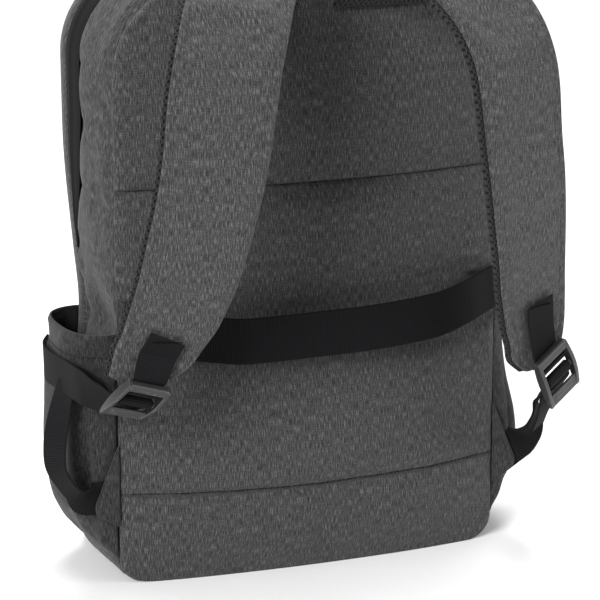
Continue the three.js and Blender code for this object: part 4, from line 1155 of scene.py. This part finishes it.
def make_tab(side, sign):
    """A triangle of doubled cloth, sewn in along its straight edge."""
    inner = PANEL_WIDTH / 2 + CLEARANCE
    up = np.linspace(0, 1, 34)[:, None]
    across = np.linspace(0, 1, 14)[None, :]
    wide = np.interp(up[:, 0], [0, 0.16, 0.23, 0.3, 1], [0.05, 0.93, 1, 0.98, 0.02])[:, None] * TAB_REACH
    x = inner + across * wide
    z = TAB_BOTTOM + up * TAB_HEIGHT + 0 * across
    edge = np.minimum(np.minimum(across * wide, wide - across * wide + 0 * z), 4)
    thick = TAB_THICKNESS * (0.45 + 0.55 * step(edge, -1.5, 1.5)) - 0.5 * bell(wide - across * wide, 3, 0.8)
    back = -REAR_SEAM - 2 * CLEARANCE - WEBBING_THICKNESS
    y = back - thick + 0 * z
    mirror = np.array([sign, 1, 1])
    outer = np.stack([x, y, z], -1)
    inner_skin = np.stack([x, np.full_like(x, back), z], -1)
    points, faces, both = slab(outer * mirror, inner_skin * mirror, np.stack([x, z], -1))
    made = make_mesh(f"anchor_tab_{side}_cloth", points, faces, both, [pocket_cloth],
                     [f"anchor_tab_{side}"])
    line = outer[8:-1, -1] - np.array([3.0, 0.2, 0])
    line = line[line[:, 0] > inner + 1]
    stitches(f"tab_{side}_stitches", [(line * mirror, np.tile([0.0, -1.0, 0.0], (len(line), 1)))],
             grey_thread)


def make_handle():
    """A loop of webbing, sewn flat to the top at both ends."""
    width, thickness, span, rise, foot = 22, 2.4, 88, 26, 12
    y = -REAR_SEAM + width / 2 + 6
    rest = float(top_at(np.array(y))) + CLEARANCE + thickness / 2
    rows = [[-span / 2 - foot, y, rest]]
    for k in range(13):
        turn = math.pi * (1 - k / 12)
        rows.append([span / 2 * math.cos(turn), y, rest + rise * math.sin(turn) ** 0.7])
    rows.append([span / 2 + foot, y, rest])
    path = spline(rows, 6)
    side = np.tile([0.0, 1.0, 0.0], (len(path), 1))
    ribbon("grab_handle_webbing", path, side, width, thickness, plain_webbing, ["grab_handle"])
    lines = []
    for sense in (-1, 1):
        for x in (span / 2 + foot - 2, span / 2 + foot - 8):
            wide = np.linspace(-width / 2 + 2, width / 2 - 2, 8)
            line = np.stack([np.full(8, sense * x), y + wide, np.full(8, rest + thickness / 2)], -1)
            lines.append((line, np.tile([0.0, 0.0, 1.0], (8, 1))))
    stitches("handle_stitches", lines, grey_thread)


def make_slider(side, sign):
    y = FRONT_SEAM - CLEARANCE - ZIPPER_WIDTH / 2
    top = float(top_at(np.array(y))) + 1.5 + CLEARANCE
    x0, x1 = 1, 14
    pieces = [block((x0, y - 4, top), (x1, y + 4, top + 1.7)),
              rod(0.9, (x0 + 3, y, top + 2.3), (x1 - 1, y, top + 2.3)),
              rod(0.8, (x1 - 1, y - 2.6, top + 2.1), (x1 + 1, y - 2.6, top + 2.0)),
              rod(0.8, (x1 - 1, y + 2.6, top + 2.1), (x1 + 1, y + 2.6, top + 2.0)),
              rod(0.8, (x1 - 1, y - 3, top + 2.1), (x1 - 1, y + 3, top + 2.1)),
              block((x1 + 0.5, y - 3, top + 1.4), (x1 + 28, y + 3, top + 2.9))]
    mirror = np.array([sign, 1, 1])
    placed = [((np.array(points) * mirror).tolist(), [f[::-1] for f in faces] if sign < 0 else faces)
              for points, faces in pieces]
    fused(f"zipper_slider_{side}_pull", placed, 0.4, slider_plastic,
          [f"zipper_slider_{side}"], 3)


make_gusset()
make_zipper()
make_front()
make_panel()
make_luggage_strap()
make_handle()
for name, sense in (("left", -1), ("right", 1)):
    make_pocket(name, sense)
    strap_frames = make_pad(name, sense)
    make_patch(name, sense, strap_frames)
    make_buckle(name, sense)
    make_lower_strap(name, sense)
    make_tab(name, sense)
    make_slider(name, sense)


# Studio

def make_floor():
    """A plain pale floor that fills the view."""
    data = bpy.data.meshes.new("floor")
    reach = 14
    corners = [(-reach, -reach, 0), (reach, -reach, 0), (reach, reach, 0), (-reach, reach, 0)]
    data.from_pydata(corners, [], [(0, 1, 2, 3)])
    floor = bpy.data.objects.new("floor", data)
    bpy.context.scene.collection.objects.link(floor)
    made, tree, at = begin("studio_floor", of_cloth=False)
    mottle = spots(tree, at, (167, 167, 167), detail=2)
    colour = node(tree, "ValToRGB", {0: mottle}, stops=[(0.3, "f4f4f4"), (0.7, "f8f8f8")])
    finish(tree, colour)
    data.materials.append(made)


def area_light(name, place_at, aim, size, power):
    lamp = bpy.data.lights.new(name, "AREA")
    lamp.shape = "DISK"
    lamp.size = size
    lamp.energy = power
    made = bpy.data.objects.new(name, lamp)
    made.location = place_at
    made.rotation_euler = (Vector(aim) - Vector(place_at)).to_track_quat("-Z", "Y").to_euler()
    bpy.context.scene.collection.objects.link(made)


make_floor()
world = bpy.data.worlds.new("studio")
world.use_nodes = True
world.node_tree.nodes["Background"].inputs["Color"].default_value = (1, 1, 1, 1)
world.node_tree.nodes["Background"].inputs["Strength"].default_value = 0.55
bpy.context.scene.world = world
key = bpy.data.lights.new("key", "SUN")
key.energy = 3.4
key.angle = math.radians(24)
key_light = bpy.data.objects.new("key", key)
key_light.rotation_euler = Vector((-2.3, -1.9, 1.5)).to_track_quat("Z", "Y").to_euler()
bpy.context.scene.collection.objects.link(key_light)
area_light("fill", (1.9, -1.5, 0.9), (0, -0.05, 0.2), 1.2, 20)
area_light("top", (0.1, 0.6, 2.2), (0, 0, 0.2), 1.4, 40)
bpy.context.scene.view_settings.view_transform = "Standard"
